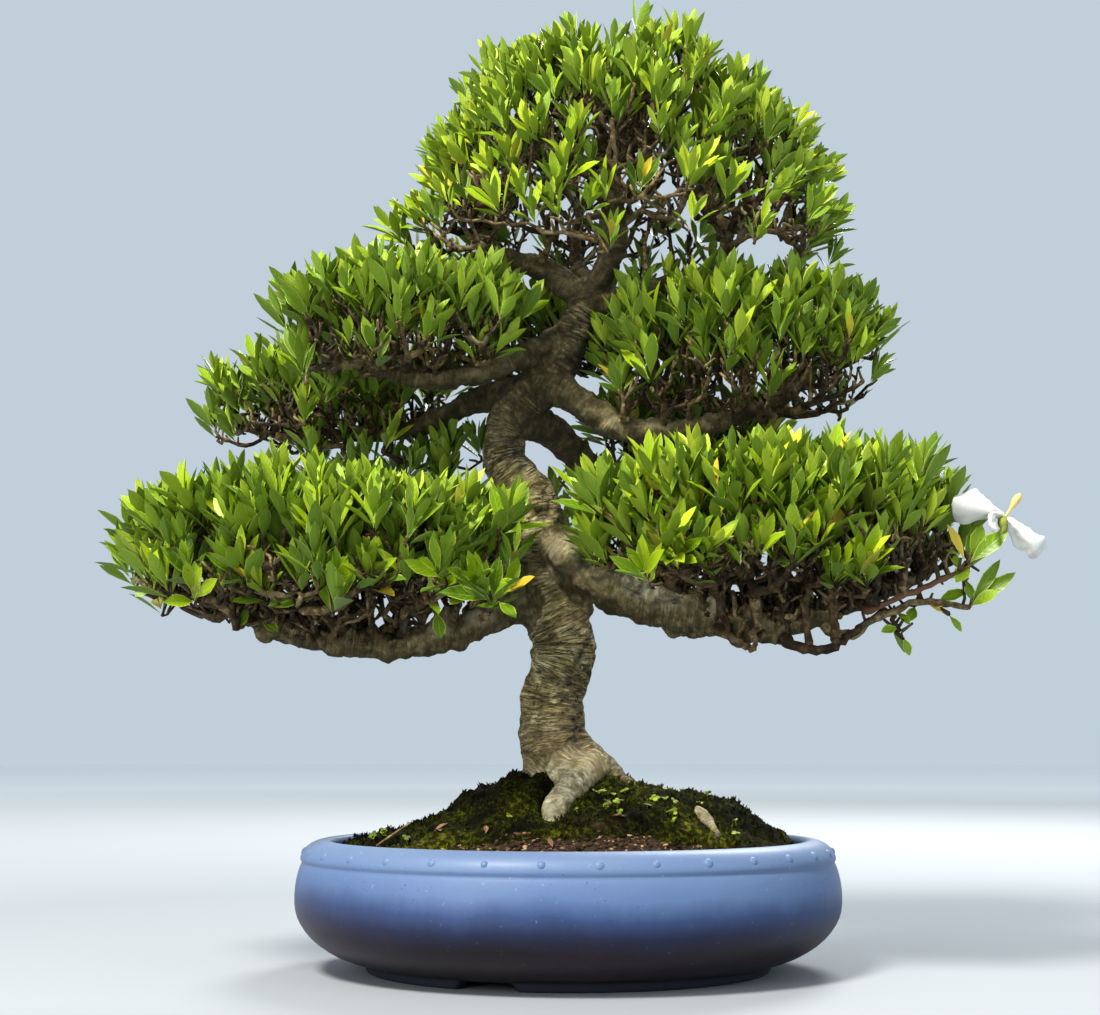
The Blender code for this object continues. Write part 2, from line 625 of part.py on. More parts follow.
class Foliage:
    """Places the leaves pad by pad, each one only where it is clear of the other pads and of the limbs."""

    def __init__(self):
        centre = Vector(FLOWER) * MM
        ends = [centre + Vector((x, y, z)).normalized() * size * PETAL_LENGTH for x, y, z, size in PETALS]
        self.placed = [("flower", centre, end) for end in ends]
        self.limbs = [pair for points in (TRUNK, *BRANCHES.values()) for pair in smooth_path(points, 2)]

    def is_clear(self, name, root, tip):
        for other, a, b in self.placed:
            spacing = PETAL_SPACING if other == "flower" else LEAF_SPACING
            if other != name and (a - root).length < 2.2 * LEAF_LENGTH and segment_gap(root, tip, a, b) < spacing:
                return False
        middle = root.lerp(tip, 0.6)
        for other, pad in PADS.items():
            if other != name and any(inside_core(point, pad) for point in (root, middle, tip)):
                return False
        return all((p - place).length > radius + 7 * MM for place, radius in self.limbs for p in (middle, tip))

    def leafy_mesh(self, name):
        """The core of a pad with its leaves, as one closed mesh."""
        pad = PADS[name]
        draw = random.Random(f"{SEED} {name}")
        bm, leafy = core_shape(pad)
        bm.faces.ensure_lookup_table()
        for face, way in [(bm.faces[number], way) for number, way in leafy.items()]:
            root = face.calc_center_median()
            stray = Vector([draw.uniform(-0.08, 0.08) for _ in range(3)])
            aim = way + stray
            aim.z = max(aim.z, 0.02)
            along = dome(pad, aim.normalized()) - root
            along *= min(along.length * draw.uniform(0.9, 1.06), LEAF_LENGTH) / along.length
            for share in (1, 0.65):
                if self.is_clear(name, root, root + along * share):
                    draw_out_leaf(bm, face, root + along * share)
                    self.placed.append((name, root, root + along * share))
                    break
        return mesh_from(bm, name)


def build_pad(name, foliage, group, clearance, green):
    """One pad of foliage: leaves that stand out of a smaller core of close twigs."""
    pad = add_object(name, foliage.leafy_mesh(name), group)
    if name == "foliage_low_right":
        repeats = collection("stalk")
        limb("stalk", smooth_path(STALK, 2), repeats, sides=6)
        join_repeats(pad, repeats)
    boolean(pad, "DIFFERENCE", clearance, "MANIFOLD")
    keep_largest(pad)
    return finish(pad, green)


def build_flower(group, cutters, white, yellow):
    """One old flower: loose white petals on a small throat, and the pistil that stands out of it."""
    centre = Vector(FLOWER) * MM
    bm = bmesh.new()
    bmesh.ops.create_icosphere(bm, subdivisions=1, radius=3.4 * MM, matrix=Matrix.Translation(centre))
    flower = add_object("flower", mesh_from(bm, "flower"), group)
    petals = collection("petals")
    petal = petal_mesh(PETAL_WIDTH / PETAL_LENGTH, PETAL_THICK / PETAL_LENGTH)
    for x, y, z, size in PETALS:
        along = Vector((x, y, z)).normalized()
        add_petal(petal, centre, along, Vector((0.2, -1, 0.3)), size * PETAL_LENGTH, petals)
    join_repeats(flower, petals)
    finish(flower, white)
    pistil = limb("pistil", smooth_path(PISTIL, 2), group, sides=6)
    clearance = add_cutter("pistil_clearance", pistil.data.copy(), cutters)
    grow = clearance.modifiers.new("Grow", "DISPLACE")
    grow.mid_level = 0
    grow.strength = GAP
    boolean(flower, "DIFFERENCE", applied(clearance), "MANIFOLD")
    keep_largest(flower)
    finish(pistil, yellow)


def main():
    clear_scene()
    tree = collection("gardenia_bonsai")
    cutters = collection("cutters")
    build_pot(tree, cutters, material("blue_glaze", (0.16, 0.27, 0.55), 0.32))
    build_screens(tree, cutters, material("screen_plastic", (0.05, 0.05, 0.05), 0.6))
    _, clearance = build_wood(tree, cutters, material("bark", (0.33, 0.29, 0.21), 0.85))
    build_soil(tree, cutters, clearance, material("soil", (0.12, 0.075, 0.045), 0.95))
    build_moss(tree, clearance, material("moss", (0.13, 0.17, 0.03), 0.95))
    foliage = Foliage()
    green = material("leaf", (0.16, 0.34, 0.05), 0.4)
    for name in PADS:
        build_pad(name, foliage, tree, clearance, green)
    build_flower(tree, cutters, material("petal", (0.86, 0.86, 0.8), 0.5), material("pistil", (0.8, 0.5, 0.12), 0.6))
    print("leaves", len(foliage.placed))


main()
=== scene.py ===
# The look of a gardenia bonsai in its oval blue pot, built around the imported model.
# Metres, +Z up. The viewing side is -Y.
import math
import random
from contextlib import contextmanager

import bmesh
import bpy
import numpy as np
from mathutils import Matrix, Vector, kdtree, noise


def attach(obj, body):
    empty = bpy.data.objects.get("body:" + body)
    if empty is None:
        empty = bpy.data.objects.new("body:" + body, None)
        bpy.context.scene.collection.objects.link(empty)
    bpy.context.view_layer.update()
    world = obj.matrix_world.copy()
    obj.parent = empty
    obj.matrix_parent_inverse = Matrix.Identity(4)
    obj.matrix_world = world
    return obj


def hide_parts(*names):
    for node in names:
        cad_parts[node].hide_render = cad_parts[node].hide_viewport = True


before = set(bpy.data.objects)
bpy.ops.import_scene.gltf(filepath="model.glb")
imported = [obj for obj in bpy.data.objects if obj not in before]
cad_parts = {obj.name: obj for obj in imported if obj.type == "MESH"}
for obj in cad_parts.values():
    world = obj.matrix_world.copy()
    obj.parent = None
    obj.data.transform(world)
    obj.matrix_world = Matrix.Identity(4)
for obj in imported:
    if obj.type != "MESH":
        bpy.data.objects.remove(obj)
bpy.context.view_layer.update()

mm = 0.001
goldenTurn = math.pi * (3 - math.sqrt(5))


class Wire:
    # a socket that can be used in sums; each sum adds a Math node
    def __init__(self, tree, socket):
        self.tree = tree
        self.socket = socket

    def math(self, operation, a, b=None, clamp=False):
        node = self.tree.nodes.new("ShaderNodeMath")
        node.operation = operation
        node.use_clamp = clamp
        for place, value in enumerate((a, b)):
            if isinstance(value, Wire):
                self.tree.links.new(value.socket, node.inputs[place])
            elif value is not None:
                node.inputs[place].default_value = value
        return Wire(self.tree, node.outputs[0])

    def __add__(self, other):
        return self.math("ADD", self, other)

    def __radd__(self, other):
        return self.math("ADD", other, self)

    def __sub__(self, other):
        return self.math("SUBTRACT", self, other)

    def __rsub__(self, other):
        return self.math("SUBTRACT", other, self)

    def __mul__(self, other):
        return self.math("MULTIPLY", self, other)

    def __rmul__(self, other):
        return self.math("MULTIPLY", other, self)

    def __pow__(self, other):
        return self.math("POWER", self, other)

    def between(self, low, high):
        # 0 below low, 1 above high, and a straight ramp from one to the other
        return self.math("MULTIPLY", self - low, 1 / (high - low), clamp=True)

    def wave(self):
        return self.math("SINE", self)

    def size(self):
        return self.math("ABSOLUTE", self)


class Look:
    # one procedural material on a Principled shader
    def __init__(self, name, roughness, **constants):
        self.material = bpy.data.materials.new(name)
        self.material.use_nodes = True
        self.tree = self.material.node_tree
        self.shader = self.tree.nodes["Principled BSDF"]
        self.shader.inputs["Roughness"].default_value = roughness
        for socket, value in constants.items():
            self.shader.inputs[socket.replace("_", " ")].default_value = value
        self.place = self.node("TexCoord", output="Object")

    def node(self, kind, settings=None, sockets=None, output=0):
        made = self.tree.nodes.new("ShaderNode" + kind)
        for name, value in (settings or {}).items():
            if name == "stops":
                ramp = made.color_ramp
                while len(ramp.elements) < len(value):
                    ramp.elements.new(0.5)
                for element, (position, colour) in zip(ramp.elements, value):
                    element.position = position
                    element.color = (*colour, 1)
            else:
                setattr(made, name, value)
        for name, value in (sockets or {}).items():
            if isinstance(value, Wire):
                self.tree.links.new(value.socket, made.inputs[name])
            else:
                if isinstance(value, tuple) and len(value) == 3 and made.inputs[name].type == "RGBA":
                    value = (*value, 1)
                made.inputs[name].default_value = value
        return Wire(self.tree, made.outputs[output])

    def noise(self, scale, detail=3.0, rough=0.55, at=None, stretch=None):
        at = at or self.place
        if stretch:
            at = self.node("VectorMath", {"operation": "MULTIPLY"}, {0: at, 1: stretch})
        sockets = {"Vector": at, "Scale": scale, "Detail": detail, "Roughness": rough}
        return self.node("TexNoise", None, sockets, "Fac")

    def cells(self, scale):
        return self.node("TexVoronoi", None, {"Vector": self.place, "Scale": scale}, "Distance")

    def ramp(self, value, *stops):
        return self.node("ValToRGB", {"stops": stops}, {"Fac": value}, "Color")

    def blend(self, share, first, second):
        return self.node("Mix", {"data_type": "RGBA"}, {0: share, 6: first, 7: second}, 2)

    def value(self, name, output="Fac"):
        return self.node("Attribute", {"attribute_name": name}, None, output)

    def split(self, vector, axes="XYZ"):
        return [self.node("SeparateXYZ", None, {0: vector}, axis) for axis in axes]

    def feed(self, socket, wire):
        self.tree.links.new(wire.socket, self.shader.inputs[socket])

    def relief(self, height, distance, strength=1.0):
        sockets = {"Height": height, "Distance": distance, "Strength": strength}
        self.feed("Normal", self.node("Bump", None, sockets, "Normal"))


def grainyLook(name, roughness, scale, first, second, depth, **constants):
    # a finish of one even grain between two colours
    look = Look(name, roughness, **constants)
    grain = look.noise(scale, 3, 0.6)
    look.feed("Base Color", look.blend(grain, first, second))
    look.relief(grain, depth)
    return look


def newObject(name, data):
    made = bpy.data.objects.new(name, data)
    bpy.context.scene.collection.objects.link(made)
    return made


def meshFrom(name, points, faces):
    mesh = bpy.data.meshes.new(name)
    mesh.from_pydata(np.asarray(points).tolist(), [], faces)
    mesh.update()
    return mesh


def shapeOf(body):
    # the points and faces of a bmesh, which isn't needed after that
    points = np.array([vert.co for vert in body.verts])
    faces = [tuple(vert.index for vert in face.verts) for face in body.faces]
    body.free()
    return points, faces


@contextmanager
def reshaped(mesh):
    # opens a mesh as a bmesh, and writes back what was done to it
    body = bmesh.new()
    body.from_mesh(mesh)
    yield body
    body.to_mesh(mesh)
    body.free()


def finderOf(places):
    # looks up which of many places is the nearest
    finder = kdtree.KDTree(len(places))
    for number, place in enumerate(places):
        finder.insert(place, number)
    finder.balance()
    return finder


def settled(obj):
    # the mesh as its modifiers leave it
    bpy.context.view_layer.update()
    graph = bpy.context.evaluated_depsgraph_get()
    mesh = bpy.data.meshes.new_from_object(obj.evaluated_get(graph), depsgraph=graph)
    obj.modifiers.clear()
    obj.data = mesh


def handIn(obj, look, slot, *nodes, crease=50):
    # gives a finished piece its material, and hides the solids that it stands for
    obj.data.materials.clear()
    obj.data.materials.append(look.material)
    obj.data.shade_smooth()
    obj.data.set_sharp_from_angle(angle=math.radians(crease))
    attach(obj, "root")
    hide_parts(*nodes)
    print("made", obj.name, triangles(obj), "triangles")


def triangles(obj):
    return sum(len(face.vertices) - 2 for face in obj.data.polygons)


def valuesOf(mesh, name):
    # a place or a normal for each point
    flat = np.empty(len(mesh.vertices) * 3)
    mesh.vertices.foreach_get(name, flat)
    return flat.reshape(-1, 3)


def addValues(mesh, name, values, kind="FLOAT", domain="POINT"):
    layer = mesh.attributes.new(name, kind, domain)
    field = "value" if kind == "FLOAT" else "vector"
    layer.data.foreach_set(field, np.asarray(values, np.float32).ravel())


def smoothPath(points, perSpan):
    # a smooth curve through x, y, z, radius rows in mm, as rows in metres
    rows = np.array(points, float) * mm
    path = []
    for i in range(len(rows) - 1):
        a, b, c, d = rows[max(i - 1, 0)], rows[i], rows[i + 1], rows[min(i + 2, len(rows) - 1)]
        for step in range(perSpan):
            t = step / perSpan
            path.append(b + 0.5 * ((c - a) * t + (2 * a - 5 * b + 4 * c - d) * t * t
                                   + (3 * b - a - 3 * c + d) * t ** 3))
    path.append(rows[-1])
    return np.array(path)


def tube(path, sides):
    # a closed tube along x, y, z, radius rows, as points and faces
    places, radii = path[:, :3], path[:, 3]
    tangents = np.gradient(places, axis=0)
    tangents /= np.linalg.norm(tangents, axis=1)[:, None] + 1e-12
    side = np.cross(tangents[0], (0.3, 0.9, 0.1) if abs(tangents[0][1]) < 0.8 else (1, 0, 0))
    turns = np.arange(sides) * math.tau / sides
    points = []
    for place, radius, along in zip(places, radii, tangents):
        side = side - along * np.dot(side, along)
        side = side / np.linalg.norm(side)
        other = np.cross(along, side)
        points.append(place + radius * (np.cos(turns)[:, None] * side + np.sin(turns)[:, None] * other))
    # each end is closed with a blunt tip
    points.append(places[:1] - tangents[:1] * radii[0] * 0.4)
    points.append(places[-1:] + tangents[-1:] * radii[-1] * 0.6)
    points = np.concatenate(points)
    faces = []
    last = (len(places) - 1) * sides
    for i in range(sides):
        j = (i + 1) % sides
        faces += [(k + i, k + j, k + sides + j, k + sides + i) for k in range(0, last, sides)]
        faces += [(len(points) - 2, j, i), (len(points) - 1, last + i, last + j)]
    return points, faces


def ball(radius, finer=2):
    body = bmesh.new()
    bmesh.ops.create_icosphere(body, subdivisions=finer, radius=radius)
    return shapeOf(body)


class Heap:
    # gathers many small closed shapes into one mesh
    def __init__(self):
        self.points, self.faces, self.values, self.count = [], [], [], 0

    def add(self, points, faces, value=0.0):
        self.points.append(points)
        self.faces += [tuple(corner + self.count for corner in face) for face in faces]
        self.values.append(np.full(len(points), value))
        self.count += len(points)

    def mesh(self, name):
        made = meshFrom(name, np.concatenate(self.points), self.faces)
        addValues(made, "tone", np.concatenate(self.values))
        return made

    def piece(self, name):
        return newObject(name, self.mesh(name))


def stem(name, places, sides, perSpan=6, tone=0.0):
    # a piece that is one round stem
    heap = Heap()
    heap.add(*tube(smoothPath(places, perSpan), sides), tone)
    return heap.piece(name)


def either(draw, reach):
    # up to so much one way or the other
    return draw.uniform(-reach, reach)


def jitter(draw, reach):
    return Vector([either(draw, reach) for _ in range(3)])


def leaning(draw, reach, rise):
    # a way that rises by a set amount and leans at random
    return Vector((either(draw, reach), either(draw, reach), rise))


# the camera first: it looks slightly up from in front of the pot
view = dict(place=(-0.0093, -0.950, 0.120), tilt=97.1, lens=59.3)
camera = newObject("camera", bpy.data.cameras.new("camera"))
camera.location = view["place"]
camera.rotation_euler = (math.radians(view["tilt"]), 0, 0)
camera.data.lens = view["lens"]
camera.data.sensor_width = 36
camera.data.clip_start = 0.01
bpy.context.scene.camera = camera


# the pot: an oval drum with an incurved studded rim, standing on a ring cut into three feet
potShape = dict(
    oval=238 / 280, steps=240,
    outside=((121.5, 63.6), (121.9, 65), (123.2, 65.9), (125, 66.1), (127.2, 65.9), (129.6, 65.3),
             (132, 64.2), (134, 62.7), (135.6, 60.9), (136.7, 59), (137.2, 57.4), (137.1, 56.3),
             (136.6, 55.4), (136.5, 54.7), (137, 53.8), (137.7, 52.2), (138.5, 49.5), (139.3, 46),
             (139.8, 42), (140, 38), (139.9, 34.5), (139.4, 31), (138.4, 27.6), (136.8, 24.4), (134.5, 21),
             (131.5, 17.6), (127.8, 14.4), (123.6, 11.6), (118.8, 9), (113.5, 7), (108.6, 5.6), (105.4, 5),
             (104, 4.3), (103.6, 3), (103.1, 1.2), (102.2, 0.25), (101, 0), (97, 0), (95.6, 0.3),
             (94.8, 1.4), (94.3, 3.4), (93.4, 4.6), (90, 5), (60, 5), (30, 5)),
    inside=((30, 11), (60, 11), (100, 11), (108, 11.2), (114, 13), (120, 17), (126, 22.4), (130, 28),
            (131, 33), (130.8, 40), (130, 48), (127.6, 54), (124, 58.4), (121.9, 61)),
    wall=(8, 64), unevenness=0.35,  # hand-thrown: between these heights the wall isn't quite round
    # the notches are in degrees round the foot, and their tops in mm
    notches=(-112.7, 7.3, 127.3), notchHalf=8.8, notchTop=4.4, notchEase=1.6,
    studs=32, studPlace=(135, 60.4), studRadius=2.5, studRise=1.5, studSunk=0.3, studFacing=0.66,
    drains=((-52, 0), (52, 0)), drainRadius=9, drainReach=(-7, 23),
)


def footNotch(turn):
    # how far the foot is cut away at a place round it, from 0 to 1
    share = 0
    for middle in potShape["notches"]:
        off = abs((math.degrees(turn) - middle + 180) % 360 - 180)
        share = max(share, min(1, max(0, (potShape["notchHalf"] - off) / potShape["notchEase"])))
    return share * share * (3 - 2 * share)


def potWall():
    # the turned wall, with its foot cut away at the notches
    shape = potShape
    profile = np.array(shape["inside"] + shape["outside"])
    steps, rows = shape["steps"], len(profile)
    footRow = profile[:, 1] < shape["notchTop"]
    points, faces = [], []
    for step in range(steps):
        turn = math.tau * step / steps
        x, y = math.cos(turn), math.sin(turn)
        notch = footNotch(turn)
        for row, (radius, height) in enumerate(profile):
            if footRow[row] and row > len(shape["inside"]):
                height += (shape["notchTop"] - height) * notch
            if shape["wall"][0] < height < shape["wall"][1]:
                radius += shape["unevenness"] * noise.noise(Vector((x, y, height * 0.02)) * 1.7)
            points.append((radius * x * mm, radius * y * shape["oval"] * mm, height * mm))
    for step in range(steps):
        after = (step + 1) % steps
        faces += [(step * rows + k, step * rows + k + 1, after * rows + k + 1, after * rows + k)
                  for k in range(rows - 1)]
    top, under = len(points), len(points) + 1
    points += [(0, 0, profile[0][1] * mm), (0, 0, profile[-1][1] * mm)]
    for step in range(steps):
        after = (step + 1) % steps
        faces += [(step * rows, after * rows, top), (after * rows + rows - 1, step * rows + rows - 1, under)]
    pot = newObject("glazedPot", meshFrom("glazedPot", points, faces))
    with reshaped(pot.data) as body:
        bmesh.ops.recalc_face_normals(body, faces=body.faces)
    return pot


def cutDrains(pot):
    radius, (low, high) = potShape["drainRadius"] * mm, potShape["drainReach"]
    for x, y in potShape["drains"]:
        tool = bmesh.new()
        place = Matrix.Translation((x * mm, y * mm, (low + high) / 2 * mm))
        bmesh.ops.create_cone(tool, cap_ends=True, segments=40, radius1=radius, radius2=radius,
                              depth=(high - low) * mm, matrix=place)
        drain = newObject("drain", meshFrom("drain", *shapeOf(tool)))
        cut = pot.modifiers.new("drain", "BOOLEAN")
        cut.operation, cut.object, cut.solver = "DIFFERENCE", drain, "MANIFOLD"
        settled(pot)
        bpy.data.objects.remove(drain)


def addStuds(pot):
    shape = potShape
    (radius, level), oval = shape["studPlace"], shape["oval"]
    with reshaped(pot.data) as body:
        for number in range(shape["studs"]):
            turn = math.tau * (number + 0.5) / shape["studs"]
            middle = Vector((math.cos(turn) * radius, math.sin(turn) * radius * oval, level)) * mm
            out = Vector((math.cos(turn) * oval, math.sin(turn), shape["studFacing"] * oval)).normalized()
            place = Matrix.Translation(middle - out * shape["studSunk"] * mm)
            turned = out.to_track_quat("Z", "Y").to_matrix().to_4x4()
            wide = shape["studRadius"] * mm * (1 + 0.25 * noise.noise(Vector((number, 0.3, 0.7)) * 1.3))
            size = Matrix.Diagonal((wide, wide, (shape["studRise"] + shape["studSunk"]) * mm, 1))
            place = place @ turned @ size
            bmesh.ops.create_uvsphere(body, u_segments=14, v_segments=9, radius=1, matrix=place)


def makePot():
    pot = potWall()
    cutDrains(pot)
    addStuds(pot)
    return pot


def glazeLook():
    look = Look("blueGlaze", 0.4, Coat_Roughness=0.3, Coat_IOR=1.45, Specular_IOR_Level=0.26)
    x, z = look.split(look.place, "XZ")
    level = z * (1 / (66 * mm))
    clouds = look.noise(11, 4, 0.6)
    runs = look.noise(55, 4, 0.6, stretch=(1, 1, 0.35))
    height = (level + (clouds - 0.5) * 0.26 + (runs - 0.5) * 0.10).between(0, 1)
    # darker towards the foot: partly the glaze's own colours, partly painted shade on the lower wall, which
    # turns away from the light above
    base = look.ramp(height, (0.0, (0.007, 0.008, 0.014)), (0.10, (0.008, 0.004, 0.006)),
                     (0.30, (0.007, 0.003, 0.008)), (0.44, (0.009, 0.014, 0.044)),
                     (0.56, (0.020, 0.041, 0.120)), (0.70, (0.066, 0.116, 0.240)),
                     (0.90, (0.088, 0.140, 0.256)), (1.0, (0.098, 0.146, 0.250)))
    # mauve and brown where the glaze broke thin over the clay, and a few iron specks and pale pinholes
    thin = look.noise(20, 5, 0.65).between(0.55, 0.70)
    mauve = (thin * 0.6 + 0.4) * (x * (-1 / mm)).between(70, 130) * (1 - level.between(0.6, 0.85))
    base = look.blend(mauve * 0.85, base, (0.026, 0.020, 0.046))
    base = look.blend(thin * (1 - height.between(0.30, 0.55)) * 0.6, base, (0.030, 0.016, 0.014))
    speck = (1 - look.cells(420).between(0.10, 0.17)) * look.noise(30, 2).between(0.52, 0.62)
    base = look.blend(speck * 0.6, base, (0.012, 0.010, 0.013))
    pale = look.noise(300, 3, 0.5).between(0.68, 0.76)
    base = look.blend(pale * 0.2 * height, base, (0.40, 0.46, 0.56))
    foot = 1 - level.between(0.065, 0.085)
    base = look.blend(foot, base, (0.016, 0.019, 0.030))
    look.feed("Base Color", base)
    look.feed("Roughness", 0.38 + 0.26 * clouds + foot * 0.3)
    look.feed("Coat Weight", (1 - foot) * 0.09)
    look.relief(look.noise(120, 3, 0.6) * 0.7 + look.noise(700, 2, 0.5) * 0.2 + speck * 0.2, 0.3 * mm, 0.9)
    return look


handIn(makePot(), glazeLook(), "blue_glaze", "pot", crease=60)


# the screens over the drain holes keep their solids, with a moulded plastic finish
def plasticLook():
    look = Look("screenPlastic", 0.6)
    grain = look.noise(900, 3, 0.6)
    look.feed("Base Color", look.blend(grain, (0.035, 0.035, 0.037), (0.065, 0.065, 0.066)))
    look.feed("Roughness", 0.5 + 0.25 * grain)
    look.relief(grain, 0.05 * mm)
    return look


plastic = plasticLook()
for screenName in ("drain_screen_left", "drain_screen_right"):
    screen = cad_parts[screenName]
    screen.data.materials.clear()
    screen.data.materials.append(plastic.material)


# the planted mound: bare soil along the front rim, moss over the rest
moundShape = dict(
    reach=118, oval=238 / 280, shares=(0, 0.2, 0.34, 0.45, 0.51, 0.62, 0.72, 0.79, 0.9, 1),
    leftLevels=(108, 102, 95, 89, 82, 76.5, 72.5, 70, 67.5, 66.5),
    rightLevels=(108, 102, 94, 91, 90, 88.5, 86.5, 79, 72, 66.5),
    mossEdge=120.8, mossThick=5, mossRings=98, mossSteps=270, mossFloor=1.6, mossSkin=0.6,
    frontGap=0.22, frontHalf=48,  # how far the moss stops short at the front, and over how many degrees
    tufts=3300, tuftSize=(1, 2.5), blades=3,
    soilEdge=122.5, soilRings=36, soilSteps=220, soilBottom=12.7, soilBelly=34, underMoss=0.8,
    grains=900, grainEdge=121, grainTurn=(222, 318), grainShare=(0.72, 0.985), grainSize=1.75,
)


def ground(x, y):
    # height of the mound in mm: steep beside the trunk, with a shelf on its right, and lower on its left
    shape = moundShape
    share = math.hypot(x, y / shape["oval"]) / shape["reach"]
    share += 0.035 * noise.noise(Vector((x, y, 4)) * 0.05) * min(share * 4, 1) * min(max(1 - share, 0) * 6, 1)
    side = 0.5 + 0.5 * x / (math.hypot(x, y) + 1e-9)
    left = float(np.interp(share, shape["shares"], shape["leftLevels"]))
    right = float(np.interp(share, shape["shares"], shape["rightLevels"]))
    return left + (right - left) * side


def mossReach(turn):
    # the moss stops short of the rim at the front
    fromFront = abs((math.degrees(turn) + 270) % 360 - 180)
    return 1 - moundShape["frontGap"] * min(1, 1.8 * max(0, 1 - fromFront / moundShape["frontHalf"]))


def mossShare(x, y):
    # how far out on the moss a place is: 1 at its edge, and more on bare soil
    return math.hypot(x, y / moundShape["oval"]) / (moundShape["mossEdge"] * mossReach(math.atan2(y, x)))


def crumbs(x, y, z):
    return (1.5 * noise.noise(Vector((x, y, z)) * 0.09) + 0.9 * noise.noise(Vector((x, y, z)) * 0.26)
            + 0.7 * noise.noise(Vector((x, y, z)) * 0.7))


def mossHeight(x, y, share):
    # cushions and knobs, thinning out at the edge
    p = Vector((x, y, 0))
    cushions = 3.0 * noise.noise(p * 0.055) + 3.4 * noise.noise(p * 0.12 + Vector((2, 5, 0)))
    knobs = sum(size * abs(noise.noise(p * scale)) for size, scale in ((2, 0.21), (1.4, 0.42), (0.9, 0.9)))
    body = max(moundShape["mossThick"] - 1.5 + cushions, 2) + knobs
    return body * min(1, (1 - share) * 9 + 0.12)


def diskMesh(name, rings, steps, radiusAt, topAt, bottomAt):
    # a closed lens of soil or moss: rings of points above, and a few more below
    points, faces = [(0, 0, topAt(0, 0, 0)), (0, 0, bottomAt(0, 0, 0))], []
    coarse = 12
    for shares, heightAt in (([ring / rings for ring in range(1, rings + 1)], topAt),
                             ([ring / coarse for ring in range(1, coarse)], bottomAt)):
        for step in range(steps):
            turn = math.tau * step / steps
            for share in shares:
                x = radiusAt(turn) * share * math.cos(turn)
                y = radiusAt(turn) * share * math.sin(turn) * moundShape["oval"]
                points.append((x, y, heightAt(x, y, share)))
    lower = 2 + steps * rings
    for step in range(steps):
        after = (step + 1) % steps
        a, b = 2 + step * rings, 2 + after * rings
        faces.append((0, a, b))
        faces += [(a + k, a + k + 1, b + k + 1, b + k) for k in range(rings - 1)]
        c, d = lower + step * (coarse - 1), lower + after * (coarse - 1)
        faces.append((1, d, c))
        faces += [(c + k, d + k, d + k + 1, c + k + 1) for k in range(coarse - 2)]
        faces.append((c + coarse - 2, d + coarse - 2, b + rings - 1, a + rings - 1))
    return meshFrom(name, np.array(points) * mm, faces)


def soilLook():
    look = Look("soil", 0.95, Specular_IOR_Level=0.15)
    grit = look.noise(260, 5, 0.7)
    base = look.ramp(grit, (0.30, (0.005, 0.003, 0.002)), (0.48, (0.016, 0.009, 0.005)),
                     (0.60, (0.045, 0.023, 0.012)), (0.78, (0.13, 0.080, 0.045)))
    tone = look.value("tone")
    chips = look.ramp(tone, (0.0, (0.007, 0.005, 0.002)), (0.45, (0.036, 0.019, 0.007)),
                      (0.80, (0.135, 0.070, 0.026)), (1.0, (0.46, 0.32, 0.17)))
    base = look.blend(tone.between(0.01, 0.02) * 0.8, base, chips)
    base = look.blend(look.noise(60, 4, 0.7).between(0.56, 0.68) * 0.4, base, (0.030, 0.036, 0.004))
    look.feed("Base Color", base)
    look.relief(grit + look.noise(900, 3, 0.7) * 0.4, 0.7 * mm)
    return look


